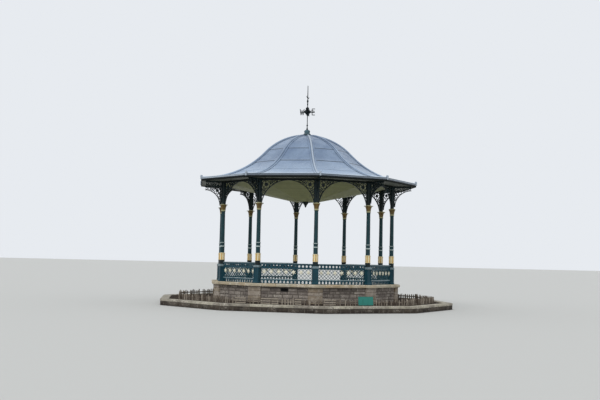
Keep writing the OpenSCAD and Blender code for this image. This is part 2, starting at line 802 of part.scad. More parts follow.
// A bulb with lobes between upright grooves, on a foot that flares out over the lead.
module roof_cap() {
    waist_z = cap_h * 0.26;
    bulb_z = cap_h * 0.5;
    neck_z = cap_h * 0.84;
    groove_r = cap_r * 0.13;
    color("cadetblue") translate([0, 0, deck_h + roof_top_z]) difference() {
        rotate_extrude() polygon([
            [0, 0], [cap_foot_r, 0], [cap_foot_r, 8], [cap_foot_r * 0.86, waist_z * 0.4],
            [cap_r * 0.94, waist_z * 0.8], [cap_r * 0.86, waist_z], [cap_r * 0.97, (waist_z + bulb_z) / 2],
            [cap_r, bulb_z], [cap_r * 0.93, bulb_z * 1.2], [cap_r * 0.7, bulb_z * 1.42],
            [cap_r * 0.36, neck_z], [cap_r * 0.24, cap_h], [0, cap_h]]);
        for (k = [1:cap_lobes]) rotate([0, 0, k * 360 / cap_lobes])
            translate([cap_r + groove_r * 0.4, 0, waist_z])
                cylinder(r = groove_r, h = neck_z - waist_z, $fn = 16);
    }
}

// Finial: a turned rod with knobs, four compass arms and two crossed scroll plates

module finial() {
    foot = deck_h + roof_top_z + cap_h;
    arm_z = finial_h * 0.4;
    color("darkslategray") translate([0, 0, foot]) {
        rod(arm_z);
        for (a = [0:90:270]) rotate([0, 0, a]) translate([0, 0, arm_z]) compass_arm();
        for (a = [45, 135]) rotate([0, 0, a]) translate([0, 0, arm_z]) scroll_plate();
    }
}

// The rod with its lower knob, the bud over the arms, small beads and the drawn-out tip.
module rod(arm_z) {
    bud_z = arm_z + scroll_half * 0.75;
    rotate_extrude() polygon(concat(
        [[0, 0], [rod_r * 1.9, 0], [rod_r * 1.9, 20], [rod_r, 45]],
        knob_points(finial_h * 0.08, 2.6 * rod_r, 34),
        knob_points(arm_z, 3.6 * rod_r, 62),
        [[rod_r, bud_z - 40], [rod_r * 3.2, bud_z - 10], [rod_r * 2.6, bud_z + 24],
            [rod_r * 1.2, bud_z + 70]],
        knob_points(arm_z + finial_h * 0.22, 1.9 * rod_r, 22),
        knob_points(arm_z + finial_h * 0.29, 1.6 * rod_r, 20),
        [[rod_r * 0.9, arm_z + finial_h * 0.32], [3, finial_h], [0, finial_h]]));
}

// Profile points of a knob of radius r and half height h on the rod at the height z.
function knob_points(z, r, h) =
    [[rod_r, z - h], [r * 0.75, z - h * 0.6], [r, z], [r * 0.75, z + h * 0.6], [rod_r, z + h]];

module compass_arm() {
    rotate([0, 90, 0]) cylinder(r = rod_r * 0.85, h = arm_reach - rod_r);
    translate([arm_reach * 0.55, 0, 0]) sphere(r = rod_r * 1.3, $fn = 24);
}

// Four scrolls round the crossing, cut from flat bar.
module scroll_plate() {
    bar = rod_r * 0.75;
    r = scroll_half * 0.42;
    rotate([90, 0, 0]) linear_extrude(rod_r, center = true) for (sx = [-1, 1]) for (sy = [-1, 1])
        translate([sx * r * 0.92, sy * r * 0.95]) difference() {
            circle(r = r);
            circle(r = r - bar);
            rotate(sy * (sx > 0 ? -45 : -135)) translate([r * 0.5, -r * 0.16]) square([r, r * 0.6]);
        }
}

terrace_wall();
terrace_coping();
terrace_bed();
picket_fence();
plinth_wall();
air_bricks();
plinth_coping();
deck();
entrance_steps();
for (i = [1:sides]) column(i);
for (i = [1:sides]) if (i != entrance_bay) railing(i);
for (i = [1:sides]) bracket(i);
ring_beam();
ceiling();
ceiling_boss();
eaves_soffit();
fascia();
roof_shell();
hip_rolls();
roof_cap();
finial();
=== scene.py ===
"""A ten-sided park bandstand: stonework, leadwork, boards and painted ironwork on its fixed frame."""

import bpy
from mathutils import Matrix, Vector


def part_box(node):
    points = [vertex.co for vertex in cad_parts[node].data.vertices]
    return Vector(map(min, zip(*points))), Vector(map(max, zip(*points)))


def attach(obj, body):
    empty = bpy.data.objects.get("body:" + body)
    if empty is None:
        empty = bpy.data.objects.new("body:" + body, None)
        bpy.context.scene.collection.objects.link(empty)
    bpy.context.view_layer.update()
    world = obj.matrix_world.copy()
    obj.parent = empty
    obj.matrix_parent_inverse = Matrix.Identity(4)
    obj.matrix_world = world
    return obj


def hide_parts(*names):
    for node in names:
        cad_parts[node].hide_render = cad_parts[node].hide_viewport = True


bl_info = {
    "name": "Park bandstand",
    "version": (1, 0, 0),
    "blender": (4, 5, 0),
    "location": "3D View > Sidebar > Bandstand",
    "description": "Builds the stone, lead, boards and painted iron of a ten-sided park bandstand",
    "category": "Add Mesh",
}

import math
import random

import bmesh
import bpy
from bpy.props import FloatProperty, FloatVectorProperty, IntProperty, PointerProperty
from mathutils import Matrix, Vector, noise

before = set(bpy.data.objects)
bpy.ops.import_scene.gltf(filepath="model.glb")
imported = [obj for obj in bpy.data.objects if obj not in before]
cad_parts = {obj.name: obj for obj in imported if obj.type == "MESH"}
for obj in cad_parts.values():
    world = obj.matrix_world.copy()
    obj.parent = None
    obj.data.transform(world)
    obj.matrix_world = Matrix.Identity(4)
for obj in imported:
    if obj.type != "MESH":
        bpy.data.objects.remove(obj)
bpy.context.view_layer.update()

SIDES = 10
STEP = math.tau / SIDES
HALF = STEP / 2
APOTHEM = math.cos(HALF)
BAYS = range(1, SIDES + 1)
FRONT_BAY = SIDES
ENTRANCE_BAY = SIDES // 2


# Places read from the frame

def low(node, axis="z"):
    """Lowest place of a node along an axis."""
    return getattr(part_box(node)[0], axis)


def high(node, axis="z"):
    """Highest place of a node along an axis."""
    return getattr(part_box(node)[1], axis)


def corner_r(node):
    """Corner radius of a ten-sided node: one of its corners lies on the X axis."""
    return high(node, "x")


DECK_Z = high("deck")
PLINTH_TOP = low("plinth_coping")
BED_Z = high("terrace_bed")
PIER_R = corner_r("plinth_wall")
COPING_R = corner_r("plinth_coping")
DECK_R = corner_r("deck")
TERRACE_R = corner_r("terrace_wall")
TERRACE_TOP = high("terrace_wall")
KERB_R = corner_r("terrace_coping")
KERB_TOP = high("terrace_coping")
RAILING_NODES, COLUMN_NODES, BRACKET_NODES = (
    sorted(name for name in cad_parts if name.startswith(kind))
    for kind in ("railing_", "column_", "bracket_"))
# The front railing lies square to the axes, so its box gives the columns' circle.
BAY_Y = -(low(f"railing_{FRONT_BAY}", "y") + high(f"railing_{FRONT_BAY}", "y")) / 2
COLUMN_R = BAY_Y / APOTHEM
BAY_HALF = COLUMN_R * math.sin(HALF)


def at_bay(i):
    """Frame of bay i: -Y points out of the bay's middle and X runs along it."""
    return Matrix.Rotation(i * STEP, 4, "Z")


def on_bay(i, along, out, up=0.0):
    """Frame at a place of bay i: its distance along the bay, out from the centre and up."""
    return at_bay(i) @ Matrix.Translation((along, -out, up))


def at_corner(i):
    """Frame of corner i, on the plan's centre: -Y points at the corner."""
    return Matrix.Rotation((i - 0.5) * STEP, 4, "Z")


def at_column(i):
    """Frame on column i's axis at the stage floor: -Y points out."""
    return at_corner(i) @ Matrix.Translation((0, -COLUMN_R, DECK_Z))


def bay_spans(i, half, gap):
    """Stretches along bay i from -half to half, cut in the entrance bay by a gap of that half width."""
    return [(-half, -gap), (gap, half)] if gap and i == ENTRANCE_BAY else [(-half, half)]


def linear(code):
    """Linear colour of a six-digit hexadecimal sRGB code."""
    parts = [int(code[k:k + 2], 16) / 255 for k in (0, 2, 4)]
    return tuple(c / 12.92 if c <= 0.04045 else ((c + 0.055) / 1.055) ** 2.4 for c in parts)


def length_property(name, description, default):
    return FloatProperty(name=name, description=description, default=default, unit="LENGTH")


def angle_property(name, description, degrees):
    return FloatProperty(name=name, description=description, default=math.radians(degrees), subtype="ANGLE")


def colour_property(name, description, code):
    return FloatVectorProperty(
        name=name, description=description, default=linear(code), subtype="COLOR", min=0, max=1)


# Sizes and colours that a user would change

class BandstandStone(bpy.types.PropertyGroup):
    """Sizes of the stonework."""
    proud: length_property("Proud", "How far a rubble stone stands out of its bed", 0.014)
    joint: length_property("Joint", "Width of a joint between rubble stones", 0.012)
    course: length_property("Course", "Mean height of a rubble course", 0.128)
    stone: length_property("Stone", "Mean length of a rubble stone", 0.34)
    pier_w: length_property("Pier width", "Width of a pier's face beside its corner", 0.30)
    pier_proud: length_property("Pier depth", "How far a pier stands out of the wall", 0.05)
    coping_stone: length_property("Coping stone", "Mean length of a coping stone", 0.68)
    coping_joint: length_property("Coping joint", "Width of a joint between coping stones", 0.006)
    soil_swell: length_property("Soil swell", "Height of the swells in the planting bed's soil", 0.022)
    path_w: length_property("Path width", "Clear width of the entrance path", 1.8)
    kerb_over: length_property("Kerb overhang", "How far the terrace coping overhangs its wall", 0.03)
    seed: IntProperty(name="Seed", description="Seed of the stones' uneven shapes", default=7)


class BandstandFence(bpy.types.PropertyGroup):
    """Sizes of the picket fence and the notice board before it."""
    pitch: length_property("Pitch", "Spacing of the pickets", 0.112)
    picket_w: length_property("Picket width", "Mean width of a picket", 0.060)
    picket_h: length_property("Picket height", "Height of the tallest picket", 0.27)
    lean: angle_property("Lean", "Most that a picket leans", 3.0)
    missing: FloatProperty(name="Missing", description="Share of the pickets that are gone", default=0.07)
    board_w: length_property("Notice width", "Width of the bare notice board", 0.64)
    board_h: length_property("Notice height", "Height of the bare notice board", 0.33)
    board_along: length_property("Notice place", "Place of the notice board along its fence panel", 0.14)
    board_bay: IntProperty(name="Notice bay", description="Bay that the notice board stands in", default=1)


class BandstandLead(bpy.types.PropertyGroup):
    """Sizes of the leadwork."""
    lap: length_property("Lap", "Step at the boldest lap between two sheets", 0.012)
    shadow: length_property("Lap shadow", "Width of the dark line below a lap", 0.032)
    apron: length_property("Apron", "Depth of the lead turned down over the eaves", 0.042)
    roll_r: length_property("Roll", "Half width of a hip roll", 0.038)
    wing: length_property("Wing", "Reach of a hip roll's wing over the sheets", 0.125)
    wing_t: length_property("Wing thickness", "Thickness of the wing", 0.011)
    # Painted highlight: how pale the tone paints each hip roll
    hip_sheen: FloatProperty(name="Hip wear", description="How worn and pale the rolls are", default=0.68)
    # Painted highlight: the front roll is painted paler, a brighter highlight
    front_hip_sheen: FloatProperty(name="Front hip wear", description="How worn the front roll is", default=0.84)
    # Painted light: each bay's rolled edge is painted paler by this much, as light falls on that bay
    edge_light_by_bay: FloatVectorProperty(
        name="Edge wear", description="How much paler each bay's rolled edge is, from bay 1 to bay 10",
        size=SIDES, default=(0.02, 0.07, 0.05, 0.02, 0.0, 0.0, 0.04, 0.14, 0.17, 0.0))
    lap_1: length_property("First lap", "Height of the top lap above the eaves", 1.845)
    lap_2: length_property("Second lap", "Height of the second lap above the eaves", 1.39)
    lap_3: length_property("Third lap", "Height of the third lap above the eaves", 0.805)
    lap_4: length_property("Fourth lap", "Height of the lowest lap above the eaves", 0.36)


class BandstandBoards(bpy.types.PropertyGroup):
    """Sizes of the boards under the roof."""
    board_w: length_property("Board width", "Width of a ceiling or soffit board", 0.118)
    groove: length_property("Groove", "Depth of the groove between two boards", 0.006)


class BandstandIron(bpy.types.PropertyGroup):
    """Sizes of the cast ornaments."""
    star_r: length_property("Star", "Radius of a star's points", 0.104)
    star_z: length_property("Star height", "Height of the stars' centres above the stage", 0.46)
    star_count: IntProperty(name="Stars", description="Stars in a bay", default=7)
    star_depth: length_property("Star depth", "How far a star stands out of the casting", 0.016)
    casting_t: length_property("Casting", "Thickness of the railing castings", 0.022)
    pedestal_w: length_property("Pedestal", "Width of a pedestal's shaft", 0.232)
    collar_foot: length_property("Collar foot", "Height of the foot of the leaf collar", 0.892)
    collar_top: length_property("Collar top", "Height of the top of the leaf collar", 1.185)
    collar_r: length_property("Collar radius", "Radius of the leaf collar", 0.108)
    shaft_r: length_property("Shaft radius", "Radius of the shaft", 0.080)
    ring_low: length_property("Lower ring", "Height of the lower ring", 1.455)
    ring_high: length_property("Upper ring", "Height of the upper ring", 1.610)
    capital_foot: length_property("Capital foot", "Height of the foot of the capital", 2.935)
    capital_top: length_property("Capital top", "Height of the top of the capital", 3.215)
    leaves: IntProperty(name="Leaves", description="Leaves round a collar", default=12)


class BandstandColours(bpy.types.PropertyGroup):
    """Colours of the stone, lead, wood and paint."""
    rubble_dark: colour_property("Rubble, dark", "Darkest of the wall's rubble", "625A56")
    rubble_light: colour_property("Rubble, light", "Palest of the wall's rubble", "A69C92")
    mortar: colour_property("Mortar", "Mortar in the joints", "6E675F")
    terrace_dark: colour_property("Terrace, dark", "Darkest of the terrace wall's stones", "302A26")
    terrace_light: colour_property("Terrace, light", "Palest of the terrace wall's stones", "5B5248")
    coping: colour_property("Coping", "Worn coping stone", "BDB7A4")
    coping_warm: colour_property("Coping, warm", "Warmer coping stone", "BBA583")
    lichen: colour_property("Lichen", "Pale lichen on the stone", "E0D8CA")
    soil: colour_property("Soil", "Soil of the planting bed", "2B221B")
    soil_dry: colour_property("Dry soil", "Dry crumbs on the soil", "4A3E33")
    wood: colour_property("Weathered wood", "Grey weathered pickets", "B7AC9C")
    wood_dark: colour_property("Dark wood", "Damp and dark pickets", "54483E")
    # Partly painted light: the floor's own pale colour, made paler still to stand in for the sky's reflection
    # on the wet floor
    concrete: colour_property("Concrete", "Stage floor", "E6E4DC")
    teal: colour_property("Teal", "Teal gloss of the ironwork", "17393F")
    teal_bright: colour_property("Bright teal", "Brighter teal of the pedestals", "15414F")
    teal_dark: colour_property("Dark teal", "Darkest teal, on brackets and beam", "0F1B1D")
    lattice: colour_property("Lattice", "Pale blue teal of the lattice", "24505C")
    # Painted highlight: this pale grey paints the light on the rails' upper faces; on the pedestals' caps it
    # is partly their paint and partly a painted highlight
    highlight_grey: colour_property("Rail grey", "Pale grey of the rails' tops", "93A6AC")
    cream: colour_property("Cream", "Cream of stars, rings and leaves", "EDDFB4")
    gold: colour_property("Gold", "Gold of the capitals and grooves", "CF9A33")
    capital_gold: colour_property("Capital gold", "Dull gold of the capitals' leaves", "A08246")
    capital_pale: colour_property("Pale capital", "Pale green cream of the capitals' feet", "B3AF85")
    star_pale: colour_property("Pale star", "Cream white of the stars", "ECE8D2")
    soffit: colour_property("Soffit", "Olive grey of the soffit", "545950")
    near_black: colour_property("Near black", "Fascia and beam", "121614")
    ring_pale: colour_property("Pale ring", "Blue-white of the columns' rings", "C3D0CE")
    # Painted shadow: the dark line below each lap, beside the hip rolls and under the eaves' lip is painted
    # shade, with a little dark patina at the laps
    lap_dark: colour_property("Lap shadow", "Dark stain under the laps and beside the rolls", "36424F")
    # Painted highlight: this pale colour paints the light on the laps' edges, the wings' lips, the hip rolls
    # and a band along the eaves
    lead_highlight: colour_property("Lead edge", "Bright worn edges of the lead", "C2CDD8")
    olive: colour_property("Olive", "Olive paint of the boards", "7F8258")
    lead: colour_property("Lead", "Blue-grey lead", "6B7F9B")
    # Besides the bloom, this pale colour is laid over the lower slope as a painted reflection of the sky
    lead_pale: colour_property("Pale lead", "Pale bloom on the lead", "ADC1D8")
    lead_dark: colour_property("Dark lead", "Dark stains on the lead", "566B86")
    verdigris: colour_property("Verdigris", "Green bloom on the roof's cap", "54707A")
    notice_green: colour_property("Notice green", "Green of the bare notice board", "35867A")
    floor: colour_property("Floor", "Pale studio floor", "C9C9C6")


class BandstandStage(bpy.types.PropertyGroup):
    """The camera's place and the studio light."""
    azimuth: angle_property("Azimuth", "Camera's bearing from the front bay", 11.42)
    distance: length_property("Distance", "Camera's distance from the centre", 39.46)
    eye: length_property("Eye height", "Camera's height above the ground", 1.939)
    yaw: angle_property("Yaw", "Turn to the left", 0.36)
    pitch: angle_property("Pitch", "Tilt upwards", 3.83)
    roll: angle_property("Roll", "Turn about the line of sight", 1.23)
    lens: FloatProperty(name="Lens", description="Focal length on a 36 mm sensor, in millimetres",
                        default=54.04)
    sky: FloatProperty(name="Sky", description="Strength of the even light", default=0.82)
    key: FloatProperty(name="Key", description="Strength of the soft sun", default=0.95)


GROUPS = {
    "bandstand_stone": BandstandStone,
    "bandstand_fence": BandstandFence,
    "bandstand_lead": BandstandLead,
    "bandstand_boards": BandstandBoards,
    "bandstand_iron": BandstandIron,
    "bandstand_colours": BandstandColours,
    "bandstand_stage": BandstandStage,
}


# Shapes

# Sides of a round bar
BAR_SIDES = 8


class Shape:
    """Gathers the points and faces of one piece, with a tone from 0 to 1 at each point."""

    def __init__(self):
        self.points = []
        self.faces = []
        self.tones = []

    def loft(self, rings, tone=0.5, place=None, closed=False):
        """Skins closed rings of like point counts. It caps both ends, or joins them if closed."""
        start, n, m = len(self.points), len(rings[0]), len(rings)
        faces = []
        for k in range(m if closed else m - 1):
            for j in range(n):
                a, b = k * n + j, k * n + (j + 1) % n
                c, d = (k + 1) % m * n + (j + 1) % n, (k + 1) % m * n + j
                faces.append([a, b, c, d])
        if not closed:
            faces += [list(range(n))[::-1], [(m - 1) * n + j for j in range(n)]]
        place = place or Matrix.Identity(4)
        self.points += [place @ Vector(p) for ring in rings for p in ring]
        self.faces += [[start + k for k in face] for face in faces]
        self.tones += tone if isinstance(tone, list) else [tone] * (m * n)

    def build(self, name, material, slot, crease=32.0, replaces=()):
        """Makes the object, with edges sharp over the crease angle in degrees."""
        mesh = bpy.data.meshes.new(name)
        mesh.from_pydata(self.points, [], self.faces)
        mesh.attributes.new("tone", "FLOAT", "POINT").data.foreach_set("value", self.tones)
        work = bmesh.new()
        work.from_mesh(mesh)
        bmesh.ops.recalc_face_normals(work, faces=work.faces)
        work.to_mesh(mesh)
        work.free()
        mesh.shade_smooth()
        mesh.set_sharp_from_angle(angle=math.radians(crease))
        mesh.materials.append(material)
        made = bpy.data.objects.new(name, mesh)
        bpy.context.scene.collection.objects.link(made)
        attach(made, "root")
        if replaces:
            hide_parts(*replaces)


def circle(r, z, around):
    """Points of a level circle about the upright axis."""
    return [(r * math.cos(math.tau * j / around), r * math.sin(math.tau * j / around), z)
            for j in range(around)]


def turned(profile, around):
    """Rings of a turned form from (radius, height) pairs."""
    return [circle(r, z, around) for r, z in profile]


def tube(line, radius, around=BAR_SIDES):
    """Rings of a round bar along a line of points. The radius may differ from point to point."""
    rings = []
    side = None
    for k, p in enumerate(line):
        ahead = Vector(line[min(k + 1, len(line) - 1)]) - Vector(line[max(k - 1, 0)])
        ahead.normalize()
        if side is None:
            side = ahead.orthogonal().normalized()
        side = (side - ahead * side.dot(ahead)).normalized()
        up = ahead.cross(side)
        r = radius[k] if isinstance(radius, list) else radius
        rings.append([Vector(p) + r * (math.cos(math.tau * j / around) * side
                                       + math.sin(math.tau * j / around) * up)
                      for j in range(around)])
    return rings


def split(length, mean, spread, rng):
    """Uneven lengths about the mean that fill the given length."""
    count = max(1, round(length / mean))
    shares = [1 + spread * rng.uniform(-1, 1) for _ in range(count)]
    return [length * s / sum(shares) for s in shares]


def edges(start, lengths):
    """Pairs of both ends of each length, laid end to end."""
    pairs = []
    for part in lengths:
        pairs.append((start, start + part))
        start += part
    return pairs


def inset(ring, by):
    """The ring moved towards its own middle by a distance at each point."""
    middle = sum((Vector(p) for p in ring), Vector()) / len(ring)
    return [Vector(p) + (middle - Vector(p)).normalized() * by for p in ring]


# Stonework

# Bays whose plinth wall has an air brick, and half the width of one
VENT_BAYS = (3, 7, 10)
AIR_BRICK_HALF = 0.15
# How far a stone's back lies within its mortar, and the narrowest stone that is laid
BEDDING = 0.012
NARROWEST = 0.02
# How far stones and pickets reach down into the bed's soil
FOOTING = 0.03
# Width of a kerb stone, and thickness of the walls beside the entrance path
KERB_W = 0.36
PATH_WALL = 0.30


def path_edge(stone):
    """Half width of the entrance path with its side walls and their coping."""
    return stone.path_w / 2 + PATH_WALL + stone.kerb_over


def rubble_stone(shape, place, x, z, stone, rng):
    """A rough stone on a wall's face, which lies at y = 0 of the place and looks along -Y."""
    tone = rng.random()
    x0, x1 = x[0] + stone.joint / 2, x[1] - stone.joint / 2
    z0, z1 = z[0] + stone.joint / 2, z[1] - stone.joint / 2
    w, h = x1 - x0, z1 - z0
    if min(w, h) < NARROWEST:
        return
    thirds = [0, 1 / 3, 2 / 3]
    outline = ([(x0 + w * t, z0) for t in thirds] + [(x1, z0 + h * t) for t in thirds]
               + [(x1 - w * t, z1) for t in thirds] + [(x0, z1 - h * t) for t in thirds])
    middle = Vector(((x0 + x1) / 2, (z0 + z1) / 2))
    rough = 0.10 * min(w, h)
    full = []
    for k, p in enumerate(outline):
        pull = rng.uniform(0.3, 1.0) * rough * (1.6 if k % 3 == 0 else 1.0)
        full.append(Vector(p) + (middle - Vector(p)).normalized() * pull)
    edge = min(0.016, 0.2 * min(w, h))
    face = stone.proud * rng.uniform(0.75, 1.0)
    tilt_x, tilt_z = rng.uniform(-0.15, 0.15), rng.uniform(-0.15, 0.15)
    rings = []
    for pull, out in ((0, -BEDDING), (0, face - edge), (edge * 0.8, face - 0.25 * edge), (edge * 2.2, face)):
        ring = []
        for p in full:
            q = p + (middle - p).normalized() * min(pull, 0.7 * (middle - p).length)
            lift = out
            if out > 0:
                lift += 0.10 * face * (tilt_x * (q.x - middle.x) / w + tilt_z * (q.y - middle.y) / h)
                lift = min(stone.proud, lift + rng.uniform(-0.12, 0.06) * face)
            ring.append((q.x, -lift, q.y))
        rings.append(ring)
    shape.loft(rings, tone, place)


def rubble_panel(shape, place, x, z, stone, rng):
    """Courses of rubble stones over the rectangle x by z of a wall's face."""
    for course in edges(z[0], split(z[1] - z[0], stone.course, 0.28, rng)):
        for run in edges(x[0], split(x[1] - x[0], stone.stone, 0.45, rng)):
            rubble_stone(shape, place, run, course, stone, rng)


def quoin(shape, place, r, w, z, rng):
    """A dressed stone that wraps a pier's corner at radius r, with faces as wide as w on both sides."""
    tone = rng.uniform(0.1, 1.0)
    back, bevel, joint = 0.06, 0.010, 0.003
    side = Vector((math.cos(HALF), math.sin(HALF)))
    tip = Vector((0, -r))
    right = [tip + side * (w * t) for t in (1.0, 0.7, 0.35, 0.05)]
    left = [Vector((-p.x, p.y)) for p in reversed(right)]
    outline = right + left + [left[-1] + Vector((0, back)), right[0] + Vector((0, back))]
    wobble = [rng.uniform(0, 0.005) for _ in outline]
    rings = []
    for height, shrink in ((z[0] + joint, bevel), (z[0] + bevel, 0), ((z[0] + z[1]) / 2, -0.002),
                           (z[1] - bevel, 0), (z[1] - joint, bevel)):
        ring = []
        for p, d in zip(outline, wobble):
            q = p - p.normalized() * (shrink + d)
            q.x *= 1 - (shrink + 0.002) / w
            ring.append((q.x, q.y, height))
        rings.append(ring)
    shape.loft(rings, tone, place)


def coping_stone(shape, profile, stations, rng, tone, wear=0.004):
    """A coping stone swept through its stations. Each is a frame, a place x along it, a stretch out and
    a pull inwards of the outer edge."""
    rings = []
    for k, (place, x, stretch, pull) in enumerate(stations):
        ring = [place @ Vector((x, -out * stretch + (pull if out > profile[0][0] + 0.05 else 0), z))
                for out, z in profile]
        end = k in (0, len(stations) - 1)
        ring = inset(ring, 0.006) if end else ring
        rings.append([p + Vector((rng.uniform(-1, 1), rng.uniform(-1, 1), rng.uniform(-1, 0))) * wear
                      * (0.5 if end else 1.0) for p in ring])
    shape.loft(rings, tone)


def nosing(inner, outer, z0, z1, radius):
    """Profile of a coping stone with a worn, rounded upper edge: pairs of distance out and height."""
    chamfer, ease, worn = 0.014, 0.004, 0.002
    arc = [math.radians(a) for a in (0, 22.5, 45, 67.5, 90)]
    return ([(inner, z0), (outer - chamfer, z0), (outer - ease, z0 + 0.012)]
            + [(outer - radius + (radius - ease) * math.cos(a), z1 - radius + (radius - worn) * math.sin(a))
               for a in arc]
            + [(inner, z1 - worn)])


def run_stations(place, x0, x1, joint):
    """Stations of a straight stone between two joints."""
    a, b = x0 + joint / 2, x1 - joint / 2
    bevel, pieces = 0.010, 4
    inner = [a + bevel + (b - a - 2 * bevel) * k / pieces for k in range(pieces + 1)]
    return [(place, x, 1.0, 0.0) for x in [a] + inner + [b]]


def corner_stations(i, side_half, reach, joint):
    """Stations of a stone that wraps corner i and reaches along both of its sides."""
    before, after = at_bay(i - 1), at_bay(i)
    foot = side_half - reach + joint / 2
    near = side_half - 0.07
    along = (foot, foot + 0.01, near)
    return ([(before, x, 1.0, 0.0) for x in along] + [(at_corner(i), 0.0, 1 / APOTHEM, 0.016)]
            + [(after, -x, 1.0, 0.0) for x in reversed(along)])


def ring_of_coping(shape, r_outer, profile, reach, mean, joint, rng, gap=0.0):
    """Coping stones all round a ten-sided wall, darker at its corners. A gap of that half width opens
    the entrance bay."""
    side_half = r_outer * math.sin(HALF)
    for i in BAYS:
        coping_stone(shape, profile, corner_stations(i, side_half, reach, joint), rng, 0.5 * rng.random())
        for a, b in bay_spans(i, side_half - reach, gap):
            for x0, x1 in edges(a, split(b - a, mean, 0.22, rng)):
                coping_stone(shape, profile, run_stations(at_bay(i), x0, x1, joint), rng, rng.random())


def make_plinth_stones(stone):
    """Rubble between dressed corner piers, laid on the plinth wall's solid as its mortar."""
    rng = random.Random(stone.seed)
    rubble, piers = Shape(), Shape()
    slack, proud = 0.004, 0.008
    wall_y = PIER_R * APOTHEM - stone.pier_proud
    field = PIER_R * math.sin(HALF) - stone.pier_w - slack
    vent_low, vent_high = low("air_bricks"), high("air_bricks")
    for i in BAYS:
        place = on_bay(i, 0, wall_y)
        foot = 0.0 if i == ENTRANCE_BAY else BED_Z - FOOTING
        if i in VENT_BAYS:
            rubble_panel(rubble, place, (-field, field), (foot, vent_low), stone, rng)
            for span in ((-field, -AIR_BRICK_HALF), (AIR_BRICK_HALF, field)):
                rubble_panel(rubble, place, span, (vent_low, vent_high), stone, rng)
            foot = vent_high
        rubble_panel(rubble, place, (-field, field), (foot, PLINTH_TOP), stone, rng)
        pier_foot = 0.0 if i in (ENTRANCE_BAY, ENTRANCE_BAY + 1) else BED_Z - FOOTING
        for course in edges(pier_foot, split(PLINTH_TOP - pier_foot, 0.15, 0.3, rng)):
            quoin(piers, at_corner(i), PIER_R + proud, stone.pier_w + slack, course, rng)
    return rubble, piers


def make_terrace_stones(stone):
    """Low rubble courses under the terrace coping, and along both sides of the entrance path."""
    rng = random.Random(stone.seed + 1)
    shape = Shape()
    face_y = TERRACE_R * APOTHEM
    path_half = stone.path_w / 2
    for i in BAYS:
        for span in bay_spans(i, TERRACE_R * math.sin(HALF), path_half):
            rubble_panel(shape, on_bay(i, 0, face_y), span, (0, TERRACE_TOP), stone, rng)
    start = high("entrance_steps", "y")
    run = face_y - start
    for side in (-1, 1):
        place = on_bay(ENTRANCE_BAY, side * path_half, start) @ Matrix.Rotation(-side * math.pi / 2, 4, "Z")
        span = (0, run) if side > 0 else (-run, 0)
        rubble_panel(shape, place, span, (0, TERRACE_TOP), stone, rng)
    return shape


def kerb_profile(inner, outer, ease):
    """Section of a kerb stone, with its inner upper edge eased by a width."""
    worn_nose = nosing(inner, outer, TERRACE_TOP, KERB_TOP, radius=0.026)[1:-1]
    return [(inner, KERB_TOP - 0.02), (inner, TERRACE_TOP)] + worn_nose + [(inner + ease, KERB_TOP - 0.002)]


def make_kerbs(stone):
    """The terrace coping: stones round the wall, and returns beside the entrance path."""
    rng = random.Random(stone.seed + 2)
    shape = Shape()
    outer = KERB_R * APOTHEM
    ring_of_coping(shape, KERB_R, kerb_profile(outer - KERB_W, outer, ease=0.018), reach=0.42,
                   mean=stone.coping_stone * 1.15, joint=stone.coping_joint, rng=rng, gap=path_edge(stone))
    face = stone.path_w / 2 - stone.kerb_over
    back = face + KERB_W
    profile = [(face + back - out, z) for out, z in kerb_profile(face, back, ease=0.020)]
    start = COPING_R * APOTHEM + 0.006
    for side in (-1, 1):
        place = at_bay(ENTRANCE_BAY) @ Matrix.Rotation(side * math.pi / 2, 4, "Z")
        for a, b in edges(start, split(outer - start, stone.coping_stone, 0.2, rng)):
            span = (-b, -a) if side > 0 else (a, b)
            coping_stone(shape, profile, run_stations(place, *span, stone.coping_joint), rng, rng.random())
    return shape


def make_plinth_coping(stone):
    """Worn coping stones over the plinth, wrapped round its corners."""
    shape = Shape()
    profile = nosing(DECK_R * APOTHEM, COPING_R * APOTHEM, PLINTH_TOP, DECK_Z, radius=0.036)
    ring_of_coping(shape, COPING_R, profile, reach=0.40, mean=stone.coping_stone, joint=stone.coping_joint,
                   rng=random.Random(stone.seed + 3))
    return shape


def make_soil(stone):
    """The planting bed: crumbly soil in gentle swells, from the plinth to the terrace wall."""
    shape = Shape()
    inner, outer = PIER_R * APOTHEM, corner_r("terrace_bed") * APOTHEM
    across, along = 22, 40
    sunk, underside, crumbs = 0.006, 0.12, 0.010
    for i in BAYS:
        for part in range(len(bay_spans(i, outer, path_edge(stone)))):
            rings = []
            for k in range(along + 1):
                top, under = [], []
                for j in range(across + 1):
                    y = inner + (outer - inner) * j / across
                    x0, x1 = bay_spans(i, y * math.tan(HALF), path_edge(stone))[part]
                    p = at_bay(i) @ Vector((x0 + (x1 - x0) * k / along, -y, 0))
                    swell = stone.soil_swell * noise.noise(p * 1.7) + crumbs * noise.noise(p * 9.0)
                    top.append((p.x, p.y, BED_Z - sunk + swell))
                    under.append((p.x, p.y, underside))
                rings.append(top + under[::-1])
            shape.loft(rings)
    return shape


def make_steps(stone):
    """Worn stone steps, each of two or three blocks, up to the stage."""
    rng = random.Random(stone.seed + 4)
    shape = Shape()
    lo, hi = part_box("entrance_steps")
    count, block, joint, foot = 5, 0.85, 0.004, 0.002
    nose_y = COPING_R * APOTHEM
    tread = (hi.y - nose_y) / count
    for k in range(1, count + 1):
        top = DECK_Z - DECK_Z * k / (count + 1)
        back = lo.y if k == 1 else nose_y + (k - 1) * tread + joint
        profile = nosing(back, nose_y + k * tread, foot, top, radius=0.022)
        for x0, x1 in edges(-hi.x, split(2 * hi.x, block, 0.15, rng)):
            stations = run_stations(at_bay(ENTRANCE_BAY), x0, x1, joint)
            coping_stone(shape, profile, stations, rng, rng.uniform(0.1, 0.9), wear=0.0015)
    return shape


# Picket fence and notice board

